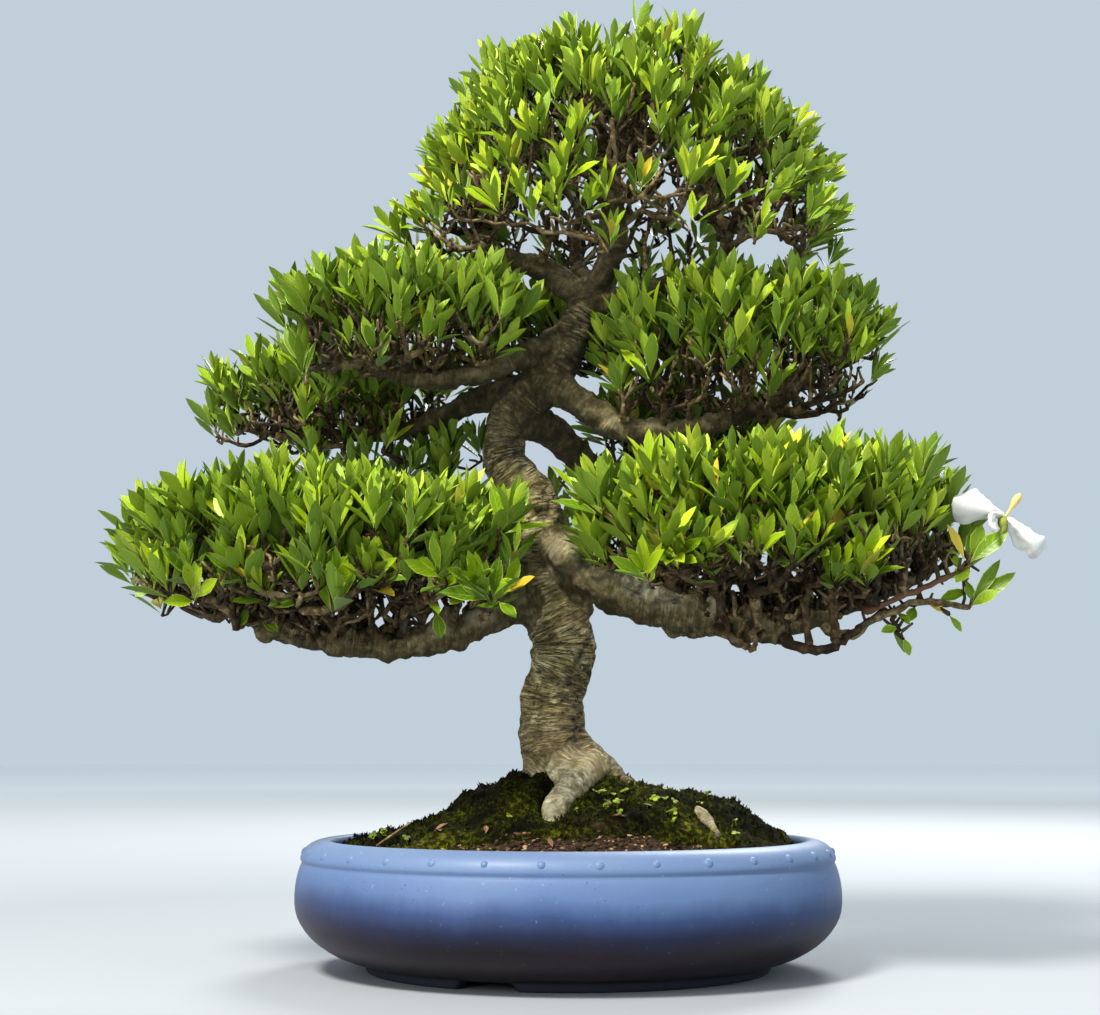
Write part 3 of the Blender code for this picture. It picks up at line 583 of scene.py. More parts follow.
# the wood: places along each limb, x, y, z and radius in mm
woodShape = dict(
    voxel=1.6, trunkRings=4.4, groove=0.9, lump=2.3, fine=0.22, fullBulk=14, sides=20,
    lineShift=0.731,  # in metres: keeps the wrinkles of two lines apart
    knobs=(0.36, 0.70), trunkKnobs=(0.22, 0.42), knobSunk=0.35,  # in shares of the wood's radius
    frontBleach=16, sideBleach=70, bleachOver=14, burlReach=1.6,  # the roots turn pale so many mm along
    stubs=(((20, -22, 192, 4.6), (23, -28, 204, 3.6)), ((34, -29, 188, 4.8), (37, -36, 202, 3.8)),
           ((48, -33, 182, 4.6), (51, -39, 196, 3.6)), ((9, -15, 208, 5), (14, -21, 220, 4)),
           ((60, -36, 182, 4), (62, -43, 191, 3.2)), ((-60, -24, 174, 4), (-62, -30, 184, 3.2)),
           ((-40, -16, 180, 4.4), (-41, -22, 191, 3.6)), ((-96, -36, 166, 4), (-99, -44, 174, 3)),
           ((92, -42, 172, 6), (104, -45, 167, 4)),
           ((-20, -4, 214, 6), (-27, -15, 215, 4.4))),
    trunk=((-1, 0, 78, 24), (-3, 0, 96, 23), (-5, 0, 108, 19.5), (-8, 0, 120, 17.4), (-8, 0, 133, 17.2),
           (-6, 0, 146, 16.8), (-2, 0, 158, 16.2), (-2, 0, 169, 16.4), (-7, 0, 181, 16.8),
           (-13, 0, 192, 16.6), (-16, 0, 204, 16.4), (-16, 0, 217, 16.2), (-16, 1, 230, 15),
           (-20, 2, 243, 13.6), (-28, 4, 255, 12.8), (-34, 6, 267, 12.4), (-33, 8, 280, 12),
           (-26, 8, 292, 12.2), (-16, 6, 303, 12.4), (-7, 4, 314, 11.4), (0, 2, 326, 10.3),
           (5, 0, 338, 9.4), (12, 0, 351, 8.2), (20, 0, 366, 6.6), (23, 1, 386, 5.2), (22, 2, 408, 4.2),
           (24, 2, 426, 3.8), (26, 2, 443, 3.2)),
    # burls: place, radius and how bleached they are
    burls=((35, -40, 197, 7.6, 1), (50, -43, 190, 6.6, 0.9), (42, -41, 187, 4.6, 0.6),
           (17, -29, 203, 6.4, 0.55), (0, -20, 211, 10.5, 0.42), (27, -31, 198, 4.6, 0.5),
           (62, -45, 187, 4.6, 0.5), (73, -46, 183, 5.4, 0.6), (88, -48, 180, 4.4, 0.3),
           (-92, -36, 161, 6.5, 0), (-45, -22, 179, 6.5, 0.5), (-118, -42, 163, 6, 0),
           (-150, -45, 171, 7, 0), (-66, -30, 175, 5.5, 0.4), (-30, -14, 192, 6, 0.5), (8, -6, 184, 7, 0.1),
           (-24, -8, 222, 6, 0.2), (53, -30, 173.5, 5.2, 0), (63, -34, 171, 4, 0), (86, -40, 167.5, 6, 0)),
    roots=(
        ((6, -2, 107, 12), (12, -9, 103.5, 10.4), (7, -19, 97.5, 9.2), (-1, -31, 89.5, 8.6),
         (-6, -43, 81, 7.2), (-8, -53, 73, 5), (-8, -61, 65, 3)),
        ((4, 0, 107, 12), (19, -4, 100.5, 8.6), (30, -10, 91, 6), (46, -24, 79, 4.6), (57, -36, 80.5, 4),
         (64, -46, 80.8, 3.3), (69, -54, 76, 2.9), (72, -59, 70, 2.1)),
        ((-10, -2, 98, 12), (-22, -5, 87, 7), (-38, -10, 76, 5), (-52, -14, 68, 4)),
        ((-6, 6, 102, 13), (-20, 24, 91, 8), (-34, 42, 78, 5)),
        ((4, 6, 102, 13), (18, 24, 92, 8), (34, 42, 79, 5)),
    ),
)
limbs = {
    "lowLeft": ((-16, 0, 190, 12), (-33, -6, 184, 9.8), (-45, -14, 177, 8.7), (-58, -22, 171, 8),
                (-73, -28, 167, 7.6), (-91, -34, 164.5, 7.8), (-110, -38, 166, 7.2), (-129, -41, 168, 6.6),
                (-147, -42, 172, 6), (-158, -43, 178, 4.4), (-170, -43, 188, 3.6), (-179, -43, 199, 3)),
    "lowRight": ((-10, 0, 218, 14), (5, -10, 208, 13), (21, -20, 194.5, 11.4), (37, -28, 186, 9.8),
                 (56, -34, 180, 9), (76, -38, 176.5, 8.6), (98, -41, 174, 8), (118, -43, 177, 6.2),
                 (138, -44, 183, 4.6), (158, -45, 190, 3.6), (176, -46, 198, 3)),
    "midLeft": ((-6, 2, 328, 9), (-17, -5, 322, 7.2), (-30, -11, 315, 6.5), (-49, -16, 307, 5.8),
                (-69, -20, 303, 5.1), (-90, -22, 306, 4.2), (-106, -23, 313, 3.4), (-114, -23, 322, 3)),
    "backLeft": ((-20, 8, 302, 10), (-35, 20, 304, 8.2), (-50, 32, 301, 7.1), (-72, 42, 293, 5.7),
                 (-98, 50, 286, 4.6), (-126, 55, 286, 3.8), (-144, 58, 293, 3.2), (-152, 59, 300, 3)),
    "midRight": ((-12, 4, 304, 10), (2, -1, 297, 8.6), (16, -5, 287, 8), (30, -7, 279, 7.4),
                 (49, -7, 277, 6.7), (70, -5, 281, 5.8), (89, -4, 286, 4.8), (110, -4, 294, 3.8),
                 (122, -4, 302, 3.3), (128, -4, 310, 3)),
    "backLow": ((-26, 8, 288, 10), (-10, 24, 284, 8.8), (4, 38, 274, 8.2), (16, 52, 264, 7.6),
                (31, 64, 258, 6.4), (46, 74, 258, 5), (57, 77, 266, 3.6), (62, 78, 275, 3)),
    "backHigh": ((0, 2, 326, 9), (-2, 18, 330, 7), (-4, 34, 329, 6), (-4, 50, 326, 5), (-3, 64, 330, 3.8),
                 (-2, 70, 336, 3)),
    "highLeft": ((10, 0, 350, 8), (-2, 2, 361, 7.4), (-15, 4, 369, 6.4), (-31, 6, 374, 5.3),
                 (-43, 8, 380, 4), (-47, 8, 389, 3.2)),
    "highRight": ((12, 0, 348, 8), (30, -1, 351, 7), (47, -2, 356, 6.4), (68, -3, 361, 5.3),
                  (82, -4, 371, 4), (87, -4, 386, 3.2)),
    "highFront": ((16, -2, 358, 6.6), (22, -14, 366, 5.4), (26, -28, 374, 4.4), (27, -39, 384, 3.6),
                  (27, -44, 399, 3)),
    "highBack": ((16, 2, 358, 6.6), (11, 16, 366, 5.4), (7, 30, 374, 4.4), (5, 40, 384, 3.6),
                 (5, 45, 399, 3)),
}


# the whole front root, and the end of the one beside it
frontRoot, sideRoot = (smoothPath(root, 5) for root in woodShape["roots"][:2])
rootBeds = np.concatenate([frontRoot, sideRoot[-9:]]) / mm
rootFinder = finderOf([(x, y, 0) for x, y, _, _ in rootBeds])


def mossTop(x, y, share):
    # the moss keeps below the upper part of the bared roots
    height = ground(x, y) - moundShape["mossThick"] - moundShape["underMoss"] + mossHeight(x, y, share)
    _, near, off = rootFinder.find((x, y, 0))
    radius = rootBeds[near][3]
    level = rootBeds[near][2] - radius * 0.35
    bank = min(max(off / radius - 0.9, 0) / 0.8, 1) ** 0.8
    return min(height, level + (height - level) * bank)


def soilTop(x, y, share=0.0):
    # bare soil, share of the way out to the wall; under the moss it keeps just below it
    bank = ground(x, y) - moundShape["mossThick"] + crumbs(x, y, 0) * min(1, (1 - share) * 12 + 0.3)
    far = mossShare(x, y)
    return min(bank, mossTop(x, y, far) - moundShape["underMoss"]) if far < 1 else bank


def soilBottom(x, y, share):
    # follows the pot's inner wall outwards as it rises
    return moundShape["soilBottom"] + moundShape["soilBelly"] * share ** 6


def makeSoil():
    shape = moundShape
    soil = diskMesh("pottingSoil", shape["soilRings"], shape["soilSteps"], lambda turn: shape["soilEdge"],
                    soilTop, soilBottom)
    # loose grains on the bare strip at the front
    heap = Heap()
    draw = random.Random(21)
    for _ in range(shape["grains"]):
        turn = math.radians(draw.uniform(*shape["grainTurn"]))
        share = draw.uniform(*shape["grainShare"])
        x = shape["grainEdge"] * share * math.cos(turn)
        y = shape["grainEdge"] * share * math.sin(turn) * shape["oval"]
        size = draw.uniform(0.45, 1.0) ** 2 * shape["grainSize"]
        points, faces = ball(size * mm, 1)
        points *= np.array([draw.uniform(0.4, 1.5), draw.uniform(0.4, 1.0), draw.uniform(0.25, 0.7)])
        turn, tip = draw.uniform(0, 3), draw.uniform(-0.9, 0.9)
        points = points @ np.array(Matrix.Rotation(turn, 3, "Z") @ Matrix.Rotation(tip, 3, "X")).T
        points += np.array((x, y, soilTop(x, y, share) + size * 0.3)) * mm
        heap.add(points, faces, draw.random())
    with reshaped(soil) as body:
        body.from_mesh(heap.mesh("grains"))
    return newObject("pottingSoil", soil)


handIn(makeSoil(), soilLook(), "soil", "soil", crease=70)


def carpetEdge(turn):
    return moundShape["mossEdge"] * mossReach(turn) * (1 + 0.03 * noise.noise(Vector((turn * 5, 0.3, 0))))


def mossBottom(x, y, share):
    floor = ground(x, y) - moundShape["mossThick"] - moundShape["mossFloor"]
    return min(floor, mossTop(x, y, share) - moundShape["mossSkin"])


def makeMoss():
    shape = moundShape
    moss = diskMesh("mossCarpet", shape["mossRings"], shape["mossSteps"], carpetEdge, mossTop, mossBottom)
    # tufts: bunches of short pointed blades that stand out of the carpet
    heap = Heap()
    draw = random.Random(5)
    for _ in range(shape["tufts"]):
        share = math.sqrt(draw.uniform(0.03, 1))
        turn = draw.uniform(0, math.tau)
        far = shape["mossEdge"] * mossReach(turn) * share
        x, y = far * math.cos(turn), far * math.sin(turn) * shape["oval"]
        base = Vector((x, y, mossTop(x, y, share) - 0.5))
        for _ in range(shape["blades"]):
            lean = leaning(draw, 0.7, 1).normalized()
            side = lean.cross(leaning(draw, 1, 0.1)).normalized()
            other = lean.cross(side)
            size = draw.uniform(*shape["tuftSize"])
            foot = [base + (side * math.cos(a) + other * math.sin(a)) * 0.36 * size for a in (0, 2.1, 4.2)]
            points = [*foot, base + lean * size * 1.15]
            heap.add(np.array(points) * mm, [(0, 1, 3), (1, 2, 3), (2, 0, 3), (2, 1, 0)], draw.random())
    with reshaped(moss) as body:
        body.from_mesh(heap.mesh("tufts"))
    return newObject("mossCarpet", moss)


def mossLook():
    look = Look("moss", 0.95, Specular_IOR_Level=0.04)
    patches = look.noise(26, 5, 0.65)
    tips = look.noise(330, 4, 0.65)
    # the near-black between the bright tips is partly the moss's own dark colour, partly painted shade among
    # the fronds
    dark = look.ramp(patches, (0.36, (0.0014, 0.0012, 0.0006)), (0.50, (0.0035, 0.0036, 0.0006)),
                     (0.62, (0.010, 0.0105, 0.0006)), (0.74, (0.022, 0.018, 0.003)))
    bright = look.ramp(patches, (0.38, (0.006, 0.006, 0.001)), (0.50, (0.030, 0.037, 0.002)),
                       (0.60, (0.078, 0.088, 0.004)), (0.72, (0.190, 0.175, 0.022)))
    base = look.blend((tips + look.value("tone") * 0.14).between(0.50, 0.70), dark, bright)
    bare = look.noise(18, 3, 0.6).between(0.56, 0.66) * look.noise(150, 3).between(0.45, 0.6)
    base = look.blend(bare * 0.7, base, (0.030, 0.017, 0.010))
    look.feed("Base Color", base)
    look.relief(tips + look.noise(1300, 3, 0.7) * 0.5, 0.9 * mm)
    return look


handIn(makeMoss(), mossLook(), "moss", "moss", crease=80)


def woodLines():
    lines = [smoothPath(woodShape["trunk"], 6)] + [smoothPath(root, 5) for root in woodShape["roots"]]
    return lines + [smoothPath(limb, 5) for limb in limbs.values()]


def roughWood(lines):
    # trunk, roots and limbs with their stubs, knobs and burls, melted into one piece
    shape = woodShape
    heap = Heap()
    for line in lines + [np.array(stub) * mm for stub in shape["stubs"]]:
        heap.add(*tube(line, shape["sides"]))
    draw = random.Random(8)
    firstLimb = 1 + len(shape["roots"])
    for number, line in enumerate(lines):
        if 0 < number < firstLimb:
            continue
        for place in line[6:-2:2 if number else 3]:
            way = Vector((draw.gauss(0, 1), draw.gauss(-0.2, 1), draw.gauss(0.3, 1))).normalized()
            size = place[3] * draw.uniform(*shape["knobs" if number else "trunkKnobs"])
            points, faces = ball(size)
            heap.add(points + place[:3] + np.array(way) * (place[3] - size * shape["knobSunk"]), faces)
    for *place, size, _ in shape["burls"]:
        points, faces = ball(size * mm)
        heap.add(points + np.array(place) * mm, faces)
    wood = heap.piece("trunkAndLimbs")
    melt = wood.modifiers.new("melt", "REMESH")
    melt.mode, melt.voxel_size = "VOXEL", shape["voxel"] * mm
    ease = wood.modifiers.new("ease", "SMOOTH")
    ease.iterations = 3
    settled(wood)
    return wood


def paleness(place, line, out):
    # how bleached the wood is: towards the ends of the front root and of the one beside it, and on the burls
    shape = woodShape
    start, most = {1: (shape["frontBleach"], 0.75), 2: (shape["sideBleach"], 0.6)}.get(line, (0, 0))
    pale = most * min(max((out - start) / shape["bleachOver"], 0), 1)
    for *centre, size, bleached in shape["burls"]:
        off = (place - Vector(centre)).length / size
        if off < shape["burlReach"]:
            pale = max(pale, bleached * min(1, (shape["burlReach"] - off) * 1.8))
    return pale


def wrinkle(place, along, pale, limb):
    # wrinkles run round the wood, and are shallow where it is pale and on the limbs
    phase = (along / woodShape["trunkRings"] + 1.8 * noise.noise(place * 0.055)
             + 0.9 * noise.noise(place * 0.15))
    roll = abs(math.sin(math.pi * phase))
    patch = min(1, max(0, 0.62 + 1.3 * noise.noise(place * 0.04 + Vector((7, 1, 3)))))
    return (1 - roll ** 0.45) * patch * (1 - 0.8 * pale) * (1 - 0.65 * limb)


def barkRise(place, bulk, crack, limb):
    # how far the bark stands out, in mm
    shape = woodShape
    broad = noise.noise(place * 0.05) * bulk + 0.7 * noise.noise(place * 0.12 + Vector((3, 8, 1)))
    rough = (0.7 + 0.6 * limb) * noise.noise(place * 0.24) + 0.5 * limb * noise.noise(place * 0.47)
    return (shape["lump"] * broad + rough + shape["fine"] * noise.noise(place * 0.6)
            - shape["groove"] * crack * (0.4 + 0.6 * bulk))


def makeWood():
    shape = woodShape
    lines = woodLines()
    wood = roughWood(lines)
    # the nearest place on a line tells how far along it each point is
    samples = np.concatenate([line[:, :3] for line in lines])
    radii = np.concatenate([line[:, 3] for line in lines]) / mm
    owners = np.concatenate([np.full(len(line), number) for number, line in enumerate(lines)])
    steps = [np.linalg.norm(np.diff(line[:, :3], axis=0), axis=1) for line in lines]
    shift = shape["lineShift"]
    arcs = np.concatenate([np.append(0, np.cumsum(step)) + number * shift
                           for number, step in enumerate(steps)])
    alongs = np.concatenate([np.gradient(line[:, :3], axis=0) for line in lines])
    alongs /= np.linalg.norm(alongs, axis=1)[:, None]
    finder = finderOf(samples)
    points, normals = valuesOf(wood.data, "co"), valuesOf(wood.data, "normal")
    along, crack, pale, limb = (np.zeros(len(points)) for _ in range(4))
    for index, point in enumerate(points):
        place = Vector(point) / mm
        near = finder.find(point)[1]
        along[index] = (arcs[near] + float(np.dot(point - samples[near], alongs[near]))) / mm
        pale[index] = paleness(place, int(owners[near]), (arcs[near] - owners[near] * shift) / mm)
        limb[index] = float(owners[near] > len(shape["roots"]))
        crack[index] = wrinkle(place, along[index], pale[index], limb[index])
        rise = barkRise(place, min(1, radii[near] / shape["fullBulk"]), crack[index], limb[index])
        points[index] = point + normals[index] * rise * mm
    wood.data.vertices.foreach_set("co", points.ravel())
    for name, values in (("along", along), ("crack", crack), ("pale", pale), ("limb", limb)):
        addValues(wood.data, name, values)
    return wood


def barkLook():
    look = Look("bark", 0.85, Specular_IOR_Level=0.3)
    x, y, z = look.split(look.place)
    along, crack = look.value("along"), look.value("crack")
    upward, = look.split(look.node("NewGeometry", output="Normal"), "Z")
    rough = look.noise(75, 6, 0.7)
    patch = look.noise(22, 4, 0.6)
    # wavy cracks that run round the trunk: the level lines of a noise drawn out sideways
    wide = look.noise(1, 5, 0.62, at=look.node("CombineXYZ", None, {0: along * 0.30, 1: x * 34, 2: y * 34}))
    close = look.noise(1, 4, 0.68, at=look.node("CombineXYZ", None, {0: along * 0.85, 1: x * 90, 2: y * 90}))
    blots = look.noise(110, 5, 0.7)
    pale, limb = look.value("pale"), look.value("limb")
    wrinkled = look.noise(14, 3, 0.6).between(0.38, 0.58) * (1 - pale * 0.8) * (1 - limb * 0.6)
    lines = (1 - (wide - 0.5).size().between(0.004, 0.030)) * wrinkled
    finer = (1 - (close - 0.5).size().between(0.0, 0.05)) * (1 - limb * 0.6) * (1 - pale * 0.7)
    base = look.ramp(rough * 0.40 + blots * 0.35 + close * 0.25,
                     (0.36, (0.060, 0.044, 0.012)), (0.44, (0.180, 0.138, 0.046)),
                     (0.52, (0.350, 0.285, 0.118)), (0.62, (0.640, 0.545, 0.290)))
    bleached = look.ramp(look.noise(240, 5, 0.7), (0.38, (0.050, 0.045, 0.022)),
                         (0.50, (0.230, 0.218, 0.145)), (0.62, (0.600, 0.575, 0.430)))
    base = look.blend(pale * 0.85, base, bleached)
    # grey lichen, gathered on up-facing sides as painted light on the tops; a purplish flush low down; darker
    # scaly wood on the limbs and towards the crown, with painted shade under the limbs and below the foliage
    lichen = (patch + upward * 0.10).between(0.54, 0.66) * look.noise(190, 4, 0.7).between(0.40, 0.54)
    base = look.blend(lichen * 0.6, base, (0.35, 0.33, 0.22))
    flush = (1 - z.between(0.100, 0.145)) * (1 - pale) * look.noise(40, 3).between(0.42, 0.6)
    base = look.blend(flush * 0.6, base, (0.130, 0.058, 0.040))
    scaly = look.ramp(rough * 0.35 + blots * 0.35 + look.noise(230, 4, 0.7) * 0.30,
                      (0.40, (0.014, 0.010, 0.003)), (0.49, (0.060, 0.045, 0.013)),
                      (0.60, (0.25, 0.21, 0.10)))
    base = look.blend(limb * (1 - pale) * 0.85, base, scaly)
    # painted shade on the undersides of the limbs
    base = look.blend(limb * (0.2 - upward).between(0.0, 0.9) * 0.5, base, (0.020, 0.014, 0.005))
    base = look.blend(z.between(0.22, 0.30) * (1 - pale) * (1 - limb) * 0.75, base, scaly)
    # darker towards the crown: partly darker bark, partly painted shade from the foliage above
    base = look.blend(z.between(0.23, 0.31) * (1 - pale) * 0.42, base, (0.016, 0.012, 0.003))
    base = look.blend(finer * 0.32, base, (0.020, 0.014, 0.005))
    base = look.blend(lines * 0.92, base, (0.008, 0.006, 0.002))
    base = look.blend(crack.between(0.12, 0.60) * (1 - limb * 0.4) * 0.85, base, (0.009, 0.006, 0.003))
    look.feed("Base Color", base)
    look.feed("Roughness", 0.95 - 0.2 * close)
    grain = rough * 0.4 + blots * (0.5 + limb * 0.5) + look.noise(420, 4, 0.7) * 0.3
    look.relief(grain - lines * 1.1 - finer * 0.4, 1.1 * mm)
    return look


handIn(makeWood(), barkLook(), "bark", "trunk", crease=80)


# the pads of foliage. centre is the middle of the rim; wide, deep and rise are half sizes and height in mm;
# peak draws the top out or flattens it; floor is how low the twigs start under the middle. ribs counts the
# side branches, bare the leafless twigs, dead the cut ones. shoots, inner, skirt and lower count the leafy
# shoots on top, inside, at the rim and below it, lower with its box and its way. low holds single low
# branches, and young is the number of the red one
pads = {
    "lowLeft": dict(
        node="foliage_low_left", centre=(-125, -40, 198), wide=114, deep=77, rise=58, peak=0.7,
        shoots=184, inner=46, skirt=92, bare=430, dead=90, ribs=46, floor=166, limbs=("lowLeft",),
        lower=(15, (-186, -94, 174), (-34, -70, 194), (0, -0.7, 0.5)),
        low=(((-150, -43, 173, 3), (-158, -47, 176, 2.4), (-172, -50, 182, 2), (-190, -50, 188, 1.7),
              (-206, -48, 193, 1.3)),
             ((-112, -44, 172, 2.6), (-122, -60, 180, 2), (-130, -74, 185, 1.6), (-136, -84, 190, 1.2)),
             ((-148, -48, 176, 1.8), (-160, -55, 173, 1.3), (-164, -57, 171, 0.8)))),
    "lowRight": dict(
        node="foliage_low_right", centre=(106, -42, 212), wide=111, deep=76, rise=58, peak=0.7,
        shoots=184, inner=46, skirt=96, bare=530, dead=170, ribs=50, floor=173, limbs=("lowRight",),
        lower=(17, (34, -93, 186), (160, -76, 206), (0, -0.7, 0.5)), young=1,
        low=(((127, -43, 176, 3.4), (134, -46, 169, 2.6), (141, -48, 169, 2.2), (154, -50, 176.8, 2),
              (173, -52, 184.6, 1.7), (187, -52, 183.6, 1.5), (199, -52, 182.1, 1.2)),
             ((148, -52, 180, 2.2), (154, -60, 183, 1.7), (170, -62, 189.3, 1.5), (187, -62, 196.7, 1.2)),
             ((76, -42, 171, 2.6), (84, -50, 165.4, 1.8), (90, -53, 161.5, 1.6), (93, -54, 165.7, 1.4),
              (97, -48, 171, 1.8)),
             ((104, -44, 168, 3.2), (113, -52, 162.5, 2.6), (128, -54, 161, 2.1), (135, -54, 166, 1.9),
              (146, -50, 173, 1.7), (158, -48, 181, 1.5)),
             ((161, -50, 179.8, 1.4), (162, -53, 171.6, 1.2), (165, -55, 166, 0.9)),
             ((182, -52, 184, 1.3), (188, -54, 178, 1)))),
    "midLeft": dict(
        node="foliage_mid_left", centre=(-88, -24, 318), wide=76, deep=58, rise=53, peak=0.8,
        shoots=96, inner=24, skirt=16, bare=100, ribs=16, floor=302, limbs=("midLeft",)),
    "backLeft": dict(
        node="foliage_back_left", centre=(-134, 58, 294), wide=80, deep=56, rise=49, peak=0.8,
        shoots=92, inner=20, skirt=18, bare=110, ribs=18, floor=284, limbs=("backLeft",),
        lower=(42, (-146, 34, 250), (-44, 74, 282), (0, -0.15, 1))),
    "midRight": dict(
        node="foliage_mid_right", centre=(92, -6, 300), wide=92, deep=60, rise=72, peak=0.85,
        shoots=130, inner=38, skirt=24, bare=120, ribs=20, floor=280, limbs=("midRight",)),
    "backLow": dict(
        node="foliage_back_low", centre=(64, 66, 272), wide=66, deep=50, rise=46, peak=0.8,
        shoots=64, inner=14, skirt=14, bare=50, ribs=12, floor=258, limbs=("backLow",),
        lower=(12, (-8, 44, 226), (34, 74, 254), (0, -0.15, 1))),
    "backHigh": dict(
        node="foliage_back_high", centre=(-2, 68, 336), wide=60, deep=50, rise=42, peak=0.8,
        shoots=58, inner=10, skirt=8, bare=30, ribs=8, floor=326, limbs=("backHigh",)),
    "crown": dict(
        node="foliage_crown", centre=(20, 0, 374), wide=134, deep=102, rise=134, peak=1.25,
        shoots=520, inner=60, skirt=40, bare=320, ribs=44, floor=352,
        lower=(20, (-44, 12, 342), (80, 60, 388), (0, -0.25, 1)),
        limbs=("highLeft", "highRight", "highFront", "highBack")),
}
padShape = dict(lump=0.16, knob=0.065, sway=9, shoulder=0.62, side=11, top=34, wall=(20, 16), rimDrop=6)
shootShape = dict(
    # for the shoots on top, inside and at the rim: how far out they stand, and how deep they start in mm
    out=dict(shoots=0.995, inner=0.90, skirt=0.99), deep=dict(shoots=(-3, 7), inner=(12, 30), skirt=(4, 12)),
    crowd=0.45, lean=0.40, sag=19, crown=dict(crowd=0.40, lean=0.85, sag=4), upright=0.08,
    skirtCrowd=0.22, skirtDrop=(2, 25), shake=0.05, sway=0.24, lowSway=0.35, clear=9, clearAt=12,
    # the crown is open away from its middle plane and below a height, more so in its lower part
    openBeside=0.22, openBelow=0.86, openLow=0.66, openShares=(0.62, 0.40),
    flowerGap=(178, -48, 196),  # none grows right of, before and above this place, where the flower shows
)
leafShape = dict(
    length=25.5, width=7.5, fold=0.34, thick=0.42, curl=0.10, perShoot=(6, 10), size=(0.74, 1.08), stem=13,
    widest=42, closing=32, reach=30, mostPerPiece=2600,
    # how far each leaf strays from these
    turns=0.25, leans=11, twists=0.5, lengths=(0.80, 1.12), widths=(0.86, 1.12), folds=(0.4, 1.5),
    curls=(-0.8, 1.8), shootTones=(-0.24, 0.22), leafTones=0.20, tipTone=0.30, yellow=0.018, yellowTone=1.6,
    stations=((0.11, 0.16), (0.37, 0.76), (0.63, 1.0), (0.85, 0.58)),
    usualGrown=0.84, grown=dict(lowLeft=0.94, lowRight=0.94, crown=0.76),
    # the lighter tone of the crown's and the low pads' leaves is painted light, where the most light falls
    usualTone=0.5, tone=dict(crown=0.60, lowRight=0.57, lowLeft=0.52),
    # single leaves: foot, tip, width, tone
    lone=dict(
        lowRight=(
            ((197, -60, 203), (216, -64, 220), 9.5, 0.42), ((195, -62, 204), (187, -66, 222), 5.5, 1.6),
            ((199, -52, 182), (214, -55, 206), 6.5, 0.35), ((199, -52, 182), (221, -56, 200), 7.5, 0.38),
            ((199, -53, 182.5), (211, -60, 190), 7, 0.62), ((199, -58, 206), (204, -62, 222), 8, 0.50),
            ((165, -55, 167), (168, -56, 158), 5, 0.40), ((163, -53, 172), (154, -58, 170), 5.5, 0.45),
            ((188, -54, 178), (194, -56, 170), 4.5, 0.35), ((178, -52, 184), (186, -55, 180), 4.5, 1.6),
            ((198, -58, 204), (190, -64, 194), 8, 0.70), ((197, -56, 203), (202, -60, 222), 7.5, 0.45),
            ((195, -54, 200), (187, -62, 210), 7, 0.60), ((200, -50, 191), (184, -54, 186), 6.5, 0.40),
            ((198, -50, 196), (199, -56, 186), 5.5, 0.35), ((173, -46, 183), (169, -50, 175.5), 6, 0.35),
            ((164, -46, 180), (169, -52, 174), 5, 0.50), ((162, -46, 179), (152.6, -50, 182), 5.5, 0.50),
            ((161, -44, 173.5), (168, -46, 160), 3.8, 0.25),
        ),
        lowLeft=(
            ((-123, -74, 186), (-145, -80, 182), 9, 0.18), ((-66, -48, 180), (-63, -54, 167), 7, 0.35),
            ((-164, -57, 171), (-158, -60, 180), 6.5, 0.25), ((-152, -54, 175), (-143, -58, 170), 5.5, 0.25),
            ((-206, -48, 193), (-216, -51, 188), 5, 0.45),
        ),
    ),
)


def dome(pad, way, side=0.0, top=0.0):
    # a point of the pad's outline, or of one that lies inside it by so much at the side and the top, in mm
    shape, centre = padShape, Vector(pad["centre"])
    lump = 1 + shape["lump"] * noise.noise(way * 2.6 + centre * 0.013)
    lump += shape["knob"] * noise.noise(way * 8.5 + centre * 0.03)
    up = max(pad["rise"] - top, 3) * abs(way.z) ** pad["peak"]
    up += shape["sway"] * noise.noise(Vector((way.x, way.y, 0)) * 3.4)
    wide = pad["wide"]
    if pad is pads["crown"] and way.x < 0:
        wide *= 1 - shape["shoulder"] * way.z * (1 - way.z)  # its left shoulder is drawn in
    return centre + Vector((way.x * (wide - side * 0.3), way.y * (pad["deep"] - side), up)) * lump


def bowl(pad, way, level=0.0):
    # a point of the hollow underside where the twigs start, in mm; level 1 is the rim's height
    (x, y, rim), (sideWall, frontWall) = pad["centre"], padShape["wall"]
    low = pad["floor"] + (rim - padShape["rimDrop"] - pad["floor"]) * math.hypot(way.x, way.y) ** 1.6
    high = dome(pad, way, 8, padShape["top"]).z
    return Vector((x + way.x * (pad["wide"] - sideWall), y + way.y * (pad["deep"] - frontWall),
                   low + level * (high - low)))


def spread(count, reach=1.0, crowd=0.5):
    # ways that fan out evenly over a half ball
    for i in range(count):
        flat = min(reach * ((i + 0.5) / count) ** crowd, 0.999)
        turn = i * goldenTurn
        yield Vector((flat * math.cos(turn), flat * math.sin(turn), math.sqrt(1 - flat * flat)))


def shaken(way, draw, amount):
    way = (way + jitter(draw, amount)).normalized()
    way.z = abs(way.z)
    return way


def isOpen(way, draw):
    # where the crown has no shoot, so that its twigs show
    shape = shootShape
    below, above = shape["openShares"]
    share = below if way.z < shape["openLow"] else above
    return abs(way.y) > shape["openBeside"] and way.z < shape["openBelow"] and draw.random() < share


